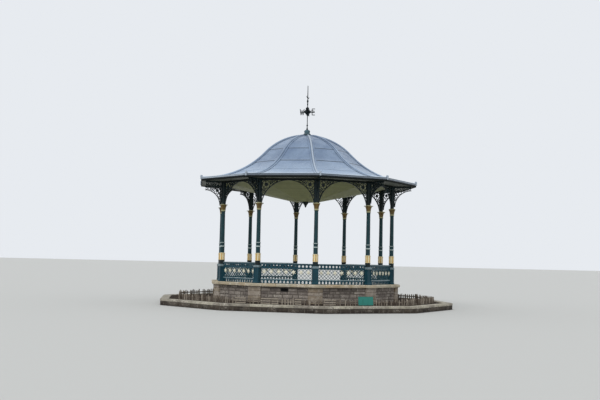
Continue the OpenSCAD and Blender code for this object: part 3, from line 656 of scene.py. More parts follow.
# Thickness of a picket, and the distances from the fence's front face in to its middle and to the rail
PICKET_T = 0.022
PICKET_IN = 0.022
RAIL_IN = 0.045
# Bays with boarded lengths: the share of the half side at each one's middle, and its width
BOARDED = {10: ((-0.80, 0.42), (-0.22, 0.38), (-0.01, 0.27), (0.51, 0.25)), 1: ((-0.80, 0.50),)}


def picket(shape, place, w, h, cut, rng, tone):
    """One sawn picket with a rough top. The cut is how much higher its left edge is than its middle."""
    bow = rng.uniform(-0.004, 0.004)
    rings = []
    for z in (-FOOTING, 0.02, 0.45 * h, 0.85 * h, h):
        bend = bow * (z / h) ** 2
        worn = 0.006 if z == h else 0.0
        ring = []
        for x, y in ((-1, 0), (-0.85, -1), (0.85, -1), (1, 0), (0.85, 1), (-0.85, 1)):
            along = x * (w / 2 - worn) + rng.uniform(-0.001, 0.001)
            up = z - cut * x + rng.uniform(-0.004, 0.004) if z == h else z
            ring.append((along, y * (PICKET_T / 2 - 0.3 * worn) + bend, up))
        rings.append(ring)
    shape.loft(rings, tone, place)


def boarded_length(shape, place, x0, x1, h, rng):
    """Three short boards laid level on two stakes, in place of pickets."""
    stake_w = 0.045
    for x in (x0 + 0.03, x1 - 0.03):
        picket(shape, place @ Matrix.Translation((x, 0.012, 0)), stake_w, h, 0.0, rng, 0.4)
    section = ((-0.022, 0.003), (-0.020, 0.0), (-0.004, 0.0),
               (-0.004, 0.041), (-0.020, 0.042), (-0.022, 0.039))
    for z in (0.012, 0.100, 0.186):
        tone = rng.uniform(1.0, 1.3)
        rings = []
        for x in (x0, x0 + 0.01, (x0 + x1) / 2, x1 - 0.01, x1):
            shift = rng.uniform(-0.003, 0.003)
            rings.append([(x, y, z + up + shift) for y, up in section])
        shape.loft(rings, tone, place)


def fence_rail(shape, i, a, b, y, z, rng):
    """The uneven rail behind the pickets from a to b."""
    steps = 6
    section = ((-0.011, -0.024), (0.011, -0.022), (0.011, 0.022), (-0.011, 0.024))
    line = [(a + (b - a) * k / steps, z + rng.uniform(-0.006, 0.006)) for k in range(steps + 1)]
    shape.loft([[(x, -y + dy, up + dz) for dy, dz in section] for x, up in line], 0.3, at_bay(i))


def make_pickets(fence):
    """Ten low panels of uneven, leaning pickets on a rail behind them."""
    rng = random.Random(31)
    shape = Shape()
    end_gap = 0.03
    face_y = corner_r("picket_fence") * APOTHEM
    half = corner_r("picket_fence") * math.sin(HALF) - end_gap
    gap = path_edge(bpy.context.scene.bandstand_stone) + 0.01
    tall = fence.picket_h
    for i in BAYS:
        boarded = [(half * share - w / 2, half * share + w / 2) for share, w in BOARDED.get(i, ())]
        for a, b in bay_spans(i, half, gap):
            fence_rail(shape, i, a, b, face_y - RAIL_IN, BED_Z + 0.35 * tall + 0.03, rng)
            for x0, x1 in boarded:
                boarded_length(shape, on_bay(i, 0, face_y - PICKET_IN, BED_Z), x0, x1, 0.85 * tall, rng)
            for x0, x1 in edges(a, split(b - a, fence.pitch, 0.16, rng)):
                if rng.random() < fence.missing or any(c < x1 and x0 < d for c, d in boarded):
                    continue
                w = min(fence.picket_w * rng.uniform(0.7, 1.15), x1 - x0 - 0.006)
                h = tall * rng.uniform(0.72, 0.98)
                place = on_bay(i, (x0 + x1) / 2, face_y - PICKET_IN, BED_Z) \
                    @ Matrix.Rotation(rng.uniform(-1, 1) * fence.lean, 4, "Y") \
                    @ Matrix.Rotation(rng.uniform(-0.5, 0.5) * fence.lean, 4, "X")
                picket(shape, place, w, h, rng.uniform(-0.012, 0.012), rng, rng.random())
    return shape


def make_notice(fence):
    """A bare green board with a raised rim, on two short stakes before the pickets."""
    board, stakes = Shape(), Shape()
    ahead, lean = 0.05, math.radians(6)
    place = on_bay(fence.board_bay, fence.board_along, corner_r("picket_fence") * APOTHEM + ahead, BED_Z) \
        @ Matrix.Rotation(-lean, 4, "X")
    w, h, t = fence.board_w / 2, fence.board_h, 0.014
    foot, bevel, rim = 0.015, 0.004, 0.018
    rings = []
    for y, shrink in ((t / 2, bevel), (t / 2 - bevel, 0), (-t / 2 + bevel, 0), (-t / 2, bevel),
                      (-t / 2, rim), (-t / 2 + 0.003, rim + 0.003)):
        rings.append([(x * (w - shrink), y, z) for x, z in (
            (-1, foot + shrink), (1, foot + shrink), (1, foot + h - shrink), (-1, foot + h - shrink))])
    board.loft(rings, 0.5, place)
    section = ((-0.02, 0.009), (0.02, 0.009), (0.02, 0.034), (-0.02, 0.034))
    for side in (-1, 1):
        x = side * 0.34 * fence.board_w
        stakes.loft([[(x + dx, dy, z) for dx, dy in section] for z in (-0.04, 0.1, 0.24)], 0.2, place)
    return board, stakes


# Columns and railings

def leaf_ring(shape, place, foot, top, r_foot, r_belly, r_lip, leaves, curl, alternate=False):
    """A ring of upright leaves. Their tone is 1 on the ribs and 0 in the grooves between them, and on every
    second leaf if they alternate."""
    around, levels = leaves * 8, 12
    rings, tones = [], []
    for k in range(levels + 1):
        t = k / levels
        belly = r_foot + (r_belly - r_foot) * math.sin(math.pi * min(t * 1.25, 1) / 2)
        r = belly + (r_lip - r_belly) * max(0.0, (t - 0.7) / 0.3) ** 2
        ring = []
        for j in range(around):
            a = math.tau * j / around
            rib = abs(math.cos(leaves * a / 2))
            point = 1 - 0.16 * (1 - rib) * t ** 2
            reach = r * (1 - 0.10 * (1 - rib) ** 1.5 * (0.4 + 0.6 * t))
            reach += curl * max(0.0, (t - 0.8) / 0.2) * rib
            ring.append((reach * math.cos(a), reach * math.sin(a), foot + (top - foot) * t * point))
            second = alternate and round(leaves * a / math.tau) % 2
            tones.append(0.0 if second else min(1.0, 1.35 * rib))
        rings.append(ring)
    rings += [circle(0.6 * r_foot, z, around) for z in (top - 0.02, foot)]
    tones += [0.0] * (2 * around)
    shape.loft(rings, tones, place)


def star_boss(shape, place, r, depth):
    """A six-pointed star raised to ridges, with a round boss in its middle."""
    turns = [math.tau * k / 12 for k in range(12)]
    outline = []
    for k, a in enumerate(turns):
        d = r if k % 2 == 0 else 0.44 * r
        outline.append((d * math.sin(a), d * math.cos(a)))
    star = [[(share * x, y, share * z) for x, z in outline]
            for share, y in ((1, 0.002), (1, -0.3 * depth), (0.30, -depth))]
    shape.loft(star, 0.9, place)
    boss = [[(0.24 * r * share * math.sin(a), -out * depth, 0.24 * r * share * math.cos(a)) for a in turns]
            for share, out in ((1.0, 0.6), (1.0, 1.25), (0.75, 1.5), (0.3, 1.6))]
    shape.loft(boss, 0.9, place)


def make_stars(iron):
    """Star rosettes on both faces of every railing."""
    shape = Shape()
    pitch = 2 * (BAY_HALF - iron.pedestal_w / 2) / iron.star_count
    for name in RAILING_NODES:
        for k in range(iron.star_count):
            centre = on_bay(int(name.split("_")[1]), (k + 0.5 - iron.star_count / 2) * pitch, BAY_Y,
                            DECK_Z + iron.star_z)
            for turn in (0, math.pi):
                face = Matrix.Rotation(turn, 4, "Z") @ Matrix.Translation((0, -iron.casting_t / 2, 0))
                star_boss(shape, centre @ face, iron.star_r, iron.star_depth)
    return shape


def make_leaves(iron):
    """Leaf collars above the pedestals, and leafed capitals."""
    collars, capitals = Shape(), Shape()
    collar, shaft = iron.collar_r, iron.shaft_r
    for i in BAYS:
        leaf_ring(collars, at_column(i), iron.collar_foot + 0.012, iron.collar_top - 0.012,
                  collar * 1.03, collar * 1.02, collar * 1.06, iron.leaves, curl=0.004, alternate=True)
        leaf_ring(capitals, at_column(i), iron.capital_foot + 0.004, iron.capital_top - 0.04,
                  shaft * 1.03, shaft * 1.16, shaft * 1.42, leaves=8, curl=0.006)
    return collars, capitals


# Boards under the roof

def board_row(shape, i, near, far, thick, boards, rng):
    """Boards side by side in bay i between two lines, near and far, given as distance out and height."""
    run = math.hypot(far[0] - near[0], far[1] - near[1])
    count = max(1, round(run / boards.board_w))
    seam, mitre = 0.0003 / run, 0.002
    dy, dz = (0.08 * boards.board_w * (b - a) / run for a, b in zip(near, far))
    for k in range(count):
        (y0, z0), (y1, z1) = ([a + (b - a) * share for a, b in zip(near, far)]
                              for share in (k / count + seam, (k + 1) / count - seam))
        profile = [(y0, z0 + boards.groove), (y0 + dy, z0 + dz), (y1 - dy, z1 - dz),
                   (y1, z1 + boards.groove), (y1, z1 + thick), (y0, z0 + thick)]
        rings = [[(side * (y * math.tan(HALF) - mitre), -y, z) for y, z in profile]
                 for side in (-1, -0.33, 0.33, 1)]
        shape.loft(rings, 0.5 + rng.uniform(-0.3, 0.3), at_bay(i))


def make_ceiling(boards):
    """Grooved boards that fall from the beam to a flat middle, parallel to each side."""
    rng = random.Random(5)
    shape = Shape()
    lo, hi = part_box("ceiling")
    thick = 0.024
    flat = APOTHEM * max(v.co.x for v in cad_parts["ceiling"].data.vertices if v.co.z < lo.z + 0.001)
    middle_r = high("ceiling_boss", "x")
    for i in BAYS:
        board_row(shape, i, (flat, lo.z), (hi.x * APOTHEM, hi.z - thick), thick, boards, rng)
        board_row(shape, i, (0.9 * middle_r, lo.z), (flat, lo.z), thick, boards, rng)
    shape.loft([circle(middle_r, z, around=20) for z in (lo.z + 0.002, lo.z + thick - 0.002)])
    return shape


def make_soffit(boards):
    """Grooved boards under the eaves, parallel to each side."""
    rng = random.Random(6)
    shape = Shape()
    lo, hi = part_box("eaves_soffit")
    near, far = corner_r("ring_beam") * APOTHEM, hi.x * APOTHEM
    for i in BAYS:
        board_row(shape, i, (near, lo.z), (far, lo.z), hi.z - lo.z, boards, rng)
    return shape


# Lead roof

def roof_lines():
    """Upper and lower line of a bay's middle, as (distance out, height), read from the roof's solid."""
    points = [v.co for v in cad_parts["roof_shell"].data.vertices]
    on_axis = {(round(p.x * APOTHEM, 4), round(p.z, 4)) for p in points if abs(p.y) < 0.002 and p.x > 0.02}
    by_reach = {}
    for y, z in on_axis:
        key = min(by_reach, key=lambda k: abs(k - y), default=None)
        if key is None or abs(key - y) > 0.004:
            key = y
        by_reach.setdefault(key, []).append(z)
    upper = sorted((y, max(z)) for y, z in by_reach.items())
    lower = sorted((y, min(z)) for y, z in by_reach.items())
    return upper, lower


def smooth_line(line, parts):
    """The line rounded through its points, with that many parts to each of its spans."""
    made = []
    for k in range(len(line) - 1):
        p = [Vector(line[min(max(j, 0), len(line) - 1)]) for j in (k - 1, k, k + 1, k + 2)]
        for s in range(parts):
            t = s / parts
            made.append(0.5 * (2 * p[1] + (p[2] - p[0]) * t + (2 * p[0] - 5 * p[1] + 4 * p[2] - p[3]) * t ** 2
                               + (3 * p[1] - p[0] - 3 * p[2] + p[3]) * t ** 3))
    return made + [Vector(line[-1])]


class RoofLine:
    """The smooth upper line of the roof, and heights on it."""

    def __init__(self):
        upper, self.lower = roof_lines()
        self.points = smooth_line(upper, parts=5)
        self.eaves = self.points[-1]

    def height(self, y):
        """Height of the line at a distance out."""
        y = max(self.points[0].x, min(y, self.eaves.x))
        for a, b in zip(self.points, self.points[1:]):
            if y <= b.x:
                return a.y + (b.y - a.y) * (y - a.x) / (b.x - a.x)
        return self.eaves.y

    def reach(self, z):
        """Distance out at which the line has the height z."""
        for a, b in zip(self.points, self.points[1:]):
            if b.y <= z:
                return a.x + (b.x - a.x) * (a.y - z) / (a.y - b.y)
        return self.eaves.x


def lapped_section(line, lead):
    """Upper section of a bay from the top to just short of the eaves, as (distance out, height), with its
    tones. How bold each lap is goes from 0 to 1."""
    bold = (0.0, 0.5, 0.8, 1.0, 0.6, 1.0)
    laps = [line.reach(line.eaves.y + rise) for rise in (lead.lap_1, lead.lap_2, lead.lap_3, lead.lap_4)]
    edge = lead.shadow
    section, tones = [], []
    for row, (y0, y1) in enumerate(zip([line.points[0].x] + laps, laps + [line.eaves.x])):
        # The tone named worn paints a highlight on the row's lower edge, where it steps over the next lap
        body, worn = 0.44 + 0.12 * (row % 2), 0.5 + 0.22 * bold[row + 1]
        between = [p.x for p in line.points if y0 + 2 * edge < p.x < y1 - 2 * edge]
        # Just below each lap the tone falls to paint its shadow
        stops = [(y0, 0.0), (y0 + edge, 0.06)] if row else [(y0, body)]
        stops += [(y, body) for y in [y0 + 1.6 * edge] + between + [y1 - 1.2 * edge]]
        stops += [(y1 - 0.5 * edge, worn), (y1, worn)]
        for y, tone in stops:
            section.append((y, line.height(y) - lead.lap * bold[row] * (1 - (y - y0) / (y1 - y0))))
            # A weaker lap throws a paler shadow
            tones.append(0.5 - bold[row] * (0.5 - tone) if tone < 0.1 else tone)
    return section[:-1], tones[:-1]


def make_roof(lead):
    """Lead sheets in lapped rows all round, dressed down over the eaves in a rolled edge. Their tone is low
    where a shadow is painted and high where a highlight is painted on their edges."""
    line = RoofLine()
    section, tones = lapped_section(line, lead)
    drip, recess, foot = 0.004, 0.034, -lead.apron - 0.003
    # Low tones paint shade under the lip and on the apron; the first point's tone paints a highlight on its
    # edge
    # Distance out and height from the eaves, tone, and share of the bay's painted light
    rolled_edge = [(-recess, 0.003, 0.6, 0), (-0.027, 0.014, 0.2, 1), (-0.016, 0.021, 0.12, 1),
                   (-0.004, 0.019, 0.08, 1), (drip, 0.010, 0.0, 1), (drip, -0.004, 0.0, 1),
                   (-0.003, -0.010, 0.0, 0), (drip, -0.015, 0.06, 1), (drip, -lead.apron, 0.13, 1),
                   (-0.002, foot, 0.0, 0), (-0.032, foot, 0.0, 0)]
    light_shares = [0] * len(tones) + [share for _, _, _, share in rolled_edge] + [0] * len(line.lower)
    tones += [tone for _, _, tone, _ in rolled_edge] + [0.0] * len(line.lower)
    section += [(line.eaves.x + out, line.eaves.y + up) for out, up, _, _ in rolled_edge]
    section += [(min(y, line.eaves.x - recess), z + 0.002) for y, z in reversed(line.lower)]
    across = 12
    rings, all_tones = [], []
    for i in BAYS:
        # Each bay's rolled edge is painted paler by its own share of painted light
        bay_tones = [tone + share * lead.edge_light_by_bay[i - 1] for tone, share in zip(tones, light_shares)]
        for k in range(across):
            s = -1 + 2 * k / across
            rings.append([at_bay(i) @ Vector((s * y * math.tan(HALF), -y, z)) for y, z in section])
            all_tones += bay_tones
    shape = Shape()
    shape.loft(rings, all_tones, closed=True)
    return shape


def hip_section(y, lead, worn):
    """Section across a hip at a distance out: (x, height over the sheets, tone) of the wings and the roll
    between them."""
    wing = min(lead.wing, 0.82 * y * math.sin(HALF))
    r = min(lead.roll_r, 0.42 * wing)
    t = lead.wing_t
    # Tones near 0 paint shadow at each wing's edge and beside the roll; 0.62 paints a highlight on the wing's
    # lip
    half = [(wing, 0.0, 0.0), (wing + 0.002, t, 0.05), (wing - 0.012, t + 0.003, 0.62), (wing - 0.03, t, 0.5),
            (1.7 * r, t, 0.42), (1.16 * r, t, 0.05), (1.0 * r, t + 0.05 * r, 0.0)]
    arc = [math.radians(a) for a in range(180, -1, -20)]
    # The roll takes the tone given as worn, which paints a highlight along it
    roll = [(r * math.cos(a), t + r * (0.30 + 0.95 * math.sin(a)), worn) for a in arc]
    return [(-x, h, tone) for x, h, tone in half] + roll + half[::-1]


def make_hips(lead):
    """Round lead rolls on the hips, with wings dressed over the sheets, and a knob over each corner."""
    line = RoofLine()
    shape = Shape()
    start = line.points[0].x + 0.004
    ys = [p.x for p in line.points if start < p.x < line.eaves.x - 0.06] + [line.eaves.x - 0.055]
    for i in BAYS:
        rings, tones = [], []
        for y in ys:
            # The rolls' tone paints a highlight on them, brighter on the front roll
            across = hip_section(y, lead, lead.front_hip_sheen if i == 1 else lead.hip_sheen)
            ring = [(x, -(y - abs(x) * math.sin(HALF)) / APOTHEM, line.height(y) + h) for x, h, _ in across]
            rings.append(ring + [(0, -y / APOTHEM, line.height(y) - 0.006)])
            tones += [tone for _, _, tone in across] + [0.3]
        shape.loft(rings, tones, at_corner(i))
        corner_knob(shape, at_corner(i), line.eaves.x / APOTHEM, line.eaves.y)
    return shape


def corner_knob(shape, place, reach, z):
    """The upright lead knob that ends a hip roll and hangs over the eaves' corner."""
    # Height from the eaves, half width and half depth
    levels = ((-0.074, 0.012, 0.016), (-0.070, 0.030, 0.026), (-0.052, 0.038, 0.030), (-0.030, 0.034, 0.026),
              (0.0, 0.034, 0.030), (0.040, 0.036, 0.040), (0.072, 0.042, 0.046), (0.096, 0.040, 0.044),
              (0.106, 0.030, 0.032), (0.110, 0.012, 0.014))
    top = levels[-1][0]
    squared = [[math.copysign(abs(c) ** 0.7, c) for c in (x, y)] for x, y, _ in circle(1.0, 0.0, 16)]
    rings = [[(half * x, -reach - 0.004 + 0.02 * max(h, 0) / top + deep * y, z + h) for x, y in squared]
             for h, half, deep in levels]
    shape.loft(rings, 0.2, place)


# Cap and finial

# Height of the crossing of the arms, as a share of the finial's
CROSSING = 0.4


def make_cap():
    """The lobed bulb of copper on the roof's top, on a foot that flares over the lead. Its tone is dark at
    the foot."""
    lo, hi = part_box("roof_cap")
    r, h = hi.x, hi.z - lo.z
    profile = [(r - 0.004, 0.0), (r, 0.008), (0.99 * r, 0.030), (0.97 * r, 0.058), (0.92 * r, 0.082),
               (0.79 * r, 0.102), (0.66 * r, 0.122), (0.64 * r, 0.146), (0.68 * r, 0.174), (0.715 * r, 0.204),
               (0.70 * r, 0.228), (0.62 * r, 0.250), (0.46 * r, 0.267), (0.27 * r, h - 0.007), (0.20 * r, h)]
    rings, tones = [], []
    for ring in turned(profile, around=80):
        z = ring[0][2]
        depth = 0.12 * math.sin(math.pi * min(max((z - 0.10) / 0.17, 0), 1)) + (0.03 if z < 0.10 else 0.0)
        lobes = [1 - depth * abs(math.sin(4 * math.atan2(y, x))) for x, y, _ in ring]
        rings.append([(x * lobe, y * lobe, z) for lobe, (x, y, _) in zip(lobes, ring)])
        tones += [min(max((z - 0.07) / 0.06, 0.0), 1.0)] * len(ring)
    shape = Shape()
    shape.loft(rings, tones, Matrix.Translation((0, 0, lo.z)))
    return shape


def scroll(r, z, size, turns):
    """Centre line of a flat scroll about a point beside the rod, wound inwards."""
    line = []
    parts = 22
    for k in range(parts + 1):
        share = k / parts
        a = math.tau * turns * share
        reach = size * (1 - 0.72 * share)
        line.append((r + reach * math.cos(a), 0, z + reach * math.sin(a)))
    return line


def make_finial():
    """The rod with its beads, buds and drawn-out tip, and the scrolls round the crossing of the arms."""
    shape = Shape()
    tall = high("finial") - low("finial")
    cross = CROSSING * tall
    foot = Matrix.Translation((0, 0, low("finial")))
    below = [(0.001, 0.0), (0.044, 0.0), (0.042, 0.018), (0.030, 0.055), (0.021, 0.110),
             (0.019, 0.150), (0.030, 0.170), (0.038, 0.192), (0.030, 0.214), (0.019, 0.234)]
    crossing = [(0.019, -0.200), (0.042, -0.145), (0.068, -0.085), (0.056, -0.055), (0.040, -0.045),
                (0.062, -0.022), (0.072, 0.0), (0.062, 0.022), (0.036, 0.050), (0.052, 0.085),
                (0.066, 0.130), (0.054, 0.175), (0.028, 0.215), (0.020, 0.240), (0.020, 0.300),
                (0.031, 0.345), (0.020, 0.390), (0.030, 0.440), (0.041, 0.480), (0.030, 0.520),
                (0.018, 0.560), (0.019, 0.620)]
    profile = below + [(r, cross + z) for r, z in crossing] + [(0.017, 0.85 * tall), (0.014, tall - 0.03)]
    shape.loft(turned(smooth_line(profile, parts=4) + [Vector((0.003, tall))], around=24), 0.5, foot)
    for k in range(8):
        turn = foot @ Matrix.Rotation(math.pi / 4 * k, 4, "Z")
        shape.loft(tube(scroll(0.114, cross, 0.050, 1.6), 0.010), 0.5, turn)
        for rise in (0.068, -0.068):
            shape.loft(tube(scroll(0.070, cross + rise, 0.034, 1.4), 0.008), 0.5, turn)
        bud = [(r, 0, cross + z) for r, z in ((0.046, 0.080), (0.068, 0.130), (0.058, 0.178), (0.066, 0.205))]
        shape.loft(tube(bud, [0.007, 0.010, 0.008, 0.003], around=6), 0.5, turn)
    # Four leaves climb the rod in a spiral
    lowest_leaf, climb = 0.575, 0.030
    for k in range(4):
        turn = foot @ Matrix.Rotation(math.pi / 2 * k, 4, "Z")
        z = cross + lowest_leaf + climb * k
        leaf = [(r, 0, z + up) for r, up in (
            (0.010, 0.0), (0.026, 0.016), (0.040, 0.040), (0.050, 0.066), (0.064, 0.080))]
        shape.loft(tube(leaf, [0.010, 0.015, 0.016, 0.012, 0.003]), 0.5, turn)
    return shape


# Strokes of the compass letters, as shares of their height
LETTERS = {
    "N": [[(0, 0), (0, 1)], [(0, 1), (0.7, 0)], [(0.7, 0), (0.7, 1)]],
    "E": [[(0, 0), (0, 1)], [(0, 1), (0.62, 1)], [(0, 0.5), (0.5, 0.5)], [(0, 0), (0.62, 0)]],
    "S": [[(0.65, 0.85), (0.35, 1)], [(0.35, 1), (0.05, 0.8)], [(0.05, 0.8), (0.6, 0.3)],
          [(0.6, 0.3), (0.35, 0)], [(0.35, 0), (0, 0.15)]],
    "W": [[(0, 1), (0.22, 0)], [(0.22, 0), (0.45, 0.7)], [(0.45, 0.7), (0.68, 0)], [(0.68, 0), (0.9, 1)]],
}


def make_letters():
    """The four arms of the compass with a scroll over each, and their letters."""
    shape = Shape()
    lo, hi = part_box("finial")
    arm_z = lo.z + (hi.z - lo.z) * CROSSING
    tall, wide, stroke_r = 0.27, 0.20, 0.017
    arm = [(x, 0, arm_z - 0.022) for x in (0.03, hi.x - 0.02)]
    over = [(x, 0, arm_z + up) for x, up in (
        (0.12, 0.020), (0.17, 0.048), (0.23, 0.056), (0.28, 0.050), (0.31, 0.030), (0.30, 0.012))]
    for k, letter in enumerate("NESW"):
        turn = Matrix.Rotation(math.pi / 2 * (1 - k), 4, "Z")
        width = max(x for stroke in LETTERS[letter] for x, _ in stroke)
        right = hi.x - stroke_r - 0.001
        for stroke in LETTERS[letter]:
            ends = [(right - wide * (width - x), 0, arm_z + tall * (z - 0.5)) for x, z in stroke]
            shape.loft(tube(ends, stroke_r), 0.5, turn)
        shape.loft(tube(arm, 0.016), 0.5, turn)
        shape.loft(tube(over, 0.013), 0.5, turn)
    return shape


# Finishes

class Finish:
    """One procedural material, built up in layers from the object's own coordinates."""

    def __init__(self, name, roughness, metallic=0.0, specular=0.5):
        self.material = bpy.data.materials.new(name)
        self.material.use_nodes = True
        self.tree = self.material.node_tree
        self.shader = self.tree.nodes["Principled BSDF"]
        self.shader.inputs["Roughness"].default_value = roughness
        self.shader.inputs["Metallic"].default_value = metallic
        self.shader.inputs["Specular IOR Level"].default_value = specular
        self.where = self.tree.nodes.new("ShaderNodeTexCoord").outputs["Object"]
        self.heights = []

    def node(self, kind, inputs=(), **settings):
        """A new node with its settings, and with its inputs linked or set by name or number."""
        made = self.tree.nodes.new(kind)
        for key, value in settings.items():
            setattr(made, key, value)
        for key, value in dict(inputs).items():
            self.feed(made.inputs[key], value)
        return made

    def feed(self, socket, value):
        """Links a socket, or sets a plain value."""
        if isinstance(value, bpy.types.NodeSocket):
            self.tree.links.new(value, socket)
        else:
            socket.default_value = value

    def maths(self, operation, a, b):
        return self.node("ShaderNodeMath", {0: a, 1: b}, operation=operation).outputs[0]

    def noise(self, scale, detail=3.0, stretch=(1, 1, 1)):
        """Noise from 0 to 1, about as large as 1/scale metres."""
        shift = self.node("ShaderNodeVectorMath", {0: self.where, 1: stretch}, operation="MULTIPLY")
        inputs = {"Vector": shift.outputs[0], "Scale": scale, "Detail": detail, "Roughness": 0.55}
        return self.node("ShaderNodeTexNoise", inputs).outputs["Fac"]

    def clamp(self, value, start, end, to=(0.0, 1.0)):
        """The value's range from start to end, mapped onto another range."""
        inputs = {"Value": value, "From Min": start, "From Max": end, "To Min": to[0], "To Max": to[1]}
        return self.node("ShaderNodeMapRange", inputs, interpolation_type="SMOOTHSTEP").outputs[0]

    def mix(self, share, a, b):
        """The colour that has that share of b, and the rest of a."""
        a, b = (c if isinstance(c, bpy.types.NodeSocket) else (*c, 1.0) for c in (a, b))
        return self.node("ShaderNodeMix", {0: share, 6: a, 7: b}, data_type="RGBA").outputs[2]

    def patches(self, body, colour, grain, start, end, most=1.0):
        """The body with patches of a colour where noise goes from start to end. The grain is the noise's
        scale, detail and stretch."""
        return self.mix(self.clamp(self.noise(*grain), start, end, (0.0, most)), body, colour)

    def tone(self):
        """The piece's own tone at each point, from 0 to 1."""
        return self.node("ShaderNodeAttribute", attribute_name="tone").outputs["Fac"]

    def upright(self, vector):
        return self.node("ShaderNodeSeparateXYZ", {0: vector}).outputs["Z"]

    def height_above_ground(self):
        return self.upright(self.where)

    def upward(self):
        """How far a surface faces up, from -1 to 1."""
        return self.upright(self.node("ShaderNodeNewGeometry").outputs["Normal"])

    def bump(self, value, distance):
        """Adds relief as deep as the distance."""
        self.heights.append((value, distance))

    def finish(self, colour, roughness=None):
        """Joins the colour, the roughness and all relief to the material, and gives it back."""
        self.feed(self.shader.inputs["Base Color"], colour)
        if roughness is not None:
            self.feed(self.shader.inputs["Roughness"], roughness)
        target = self.shader
        for value, distance in reversed(self.heights):
            made = self.node("ShaderNodeBump", {"Strength": 1.0, "Distance": distance, "Height": value})
            self.feed(target.inputs["Normal"], made.outputs["Normal"])
            target = made
        return self.material


def shade(colour, by):
    """The colour made darker or paler by a factor."""
    return tuple(min(1.0, c * by) for c in colour[:3])


def stone_finish(name, dark, light, lichen, grime_z=0.0, patchy=0.6, mottle=0.55):
    """Weathered stone: each stone's own tone, mottled, with lichen, and grime up to a height."""
    f = Finish(name, 0.9, specular=0.25)
    body = f.mix(f.tone(), dark, light)
    body = f.patches(body, shade(light, 1.12), (7.0, 5.0), 0.35, 0.7, 0.45)
    body = f.patches(body, shade(dark, 0.72), (13.0, 4.0), 0.45, 0.75, mottle)
    spots = f.maths("MULTIPLY", f.clamp(f.noise(3.1), 0.48, 0.62), f.clamp(f.noise(34.0), 0.45, 0.62))
    body = f.mix(f.maths("MULTIPLY", spots, patchy), body, lichen)
    body = f.patches(body, shade(dark, 0.6), (110.0, 2.0), 0.3, 0.7, 0.25)
    if grime_z:
        body = f.mix(f.clamp(f.height_above_ground(), 0.0, grime_z, (0.55, 0.0)), body, shade(dark, 0.55))
    f.bump(f.noise(16.0, 4.0), 0.010)
    f.bump(f.noise(70.0, 4.0), 0.0035)
    return f.finish(body, f.clamp(f.noise(20.0), 0.3, 0.7, (0.82, 0.96)))


def mortar_finish(name, colour):
    f = Finish(name, 0.95, specular=0.2)
    body = f.patches(colour, shade(colour, 0.6), (9.0, 5.0), 0.35, 0.7, 0.6)
    body = f.patches(body, shade(colour, 1.25), (60.0,), 0.4, 0.7, 0.4)
    f.bump(f.noise(45.0, 4.0), 0.004)
    return f.finish(body)


def soil_finish(wet, dry):
    f = Finish("Crumbly soil", 0.97, specular=0.15)
    body = f.patches(wet, dry, (5.0, 5.0), 0.35, 0.68)
    body = f.patches(body, shade(wet, 0.5), (55.0, 4.0), 0.5, 0.72, 0.7)
    f.bump(f.noise(30.0, 5.0), 0.02)
    f.bump(f.noise(120.0), 0.006)
    return f.finish(body)


def concrete_finish(colour):
    f = Finish("Worn concrete", 0.35, specular=0.6)
    body = f.patches(colour, shade(colour, 0.8), (1.6, 5.0), 0.3, 0.7, 0.35)
    body = f.patches(body, shade(colour, 1.12), (22.0, 4.0), 0.4, 0.7, 0.3)
    f.bump(f.noise(80.0, 4.0), 0.001)
    return f.finish(body, f.clamp(f.noise(3.0, 4.0), 0.3, 0.7, (0.15, 0.4)))


def wood_finish(grey, dark):
    """Weathered wood with upright grain."""
    f = Finish("Weathered wood", 0.88, specular=0.2)
    grain = f.noise(95.0, 3.0, (1.0, 1.0, 0.07))
    body = f.mix(f.tone(), dark, grey)
    body = f.mix(f.clamp(grain, 0.4, 0.65, (0.0, 0.7)), body, shade(dark, 0.6))
    body = f.patches(body, shade(grey, 1.25), (6.0, 4.0), 0.5, 0.75, 0.5)
    f.bump(grain, 0.004)
    return f.finish(body)


def painted(f, body, wear, roughness):
    """Finishes painted iron with fading, grime, and wear where it faces up."""
    grime = (0.012, 0.016, 0.018)
    body = f.patches(body, wear, (3.0, 4.0), 0.35, 0.7, 0.16)
    body = f.patches(body, grime, (9.0, 4.0, (1.0, 1.0, 0.25)), 0.5, 0.78, 0.45)
    body = f.mix(f.clamp(f.upward(), 0.55, 1.0, (0.0, 0.30)), body, wear)
    f.bump(f.noise(55.0), 0.0012)
    return f.finish(body, f.clamp(f.noise(14.0), 0.3, 0.7, (roughness - 0.06, roughness + 0.14)))


def iron_finish(name, colour, wear, roughness, specular=0.25):
    return painted(Finish(name, roughness, specular=specular), colour, wear, roughness)


def banded_finish(name, bands, wear):
    """Painted iron whose colour changes with height above the stage. Bands are (foot, colour) pairs."""
    roughness = 0.38
    f = Finish(name, roughness, specular=0.25)
    span = bands[-1][0] + 0.5
    share = f.maths("DIVIDE", f.maths("SUBTRACT", f.height_above_ground(), DECK_Z), span)
    ramp = f.node("ShaderNodeValToRGB", {0: share})
    ramp.color_ramp.interpolation = "CONSTANT"
    stops = ramp.color_ramp.elements
    for k, (foot, colour) in enumerate(bands):
        stop = stops[k] if k < 2 else stops.new(foot / span)
        stop.position, stop.color = foot / span, (*colour, 1)
    return painted(f, ramp.outputs[0], wear, roughness)


def two_tone_finish(name, groove, rib, start=0.35, foot=None):
    """Painted ornament: one colour in the hollows and another on the ribs. The foot is a height above
    the stage and the colour of the ribs below it."""
    f = Finish(name, 0.45)
    if foot:
        rise = f.maths("SUBTRACT", f.height_above_ground(), DECK_Z + foot[0])
        rib = f.mix(f.clamp(rise, -0.01, 0.01), foot[1], rib)
    body = f.mix(f.clamp(f.tone(), start, start + 0.4), groove, rib)
    body = f.patches(body, shade(groove, 0.5), (30.0, 4.0), 0.5, 0.75, 0.30)
    f.bump(f.noise(90.0), 0.001)
    return f.finish(body)


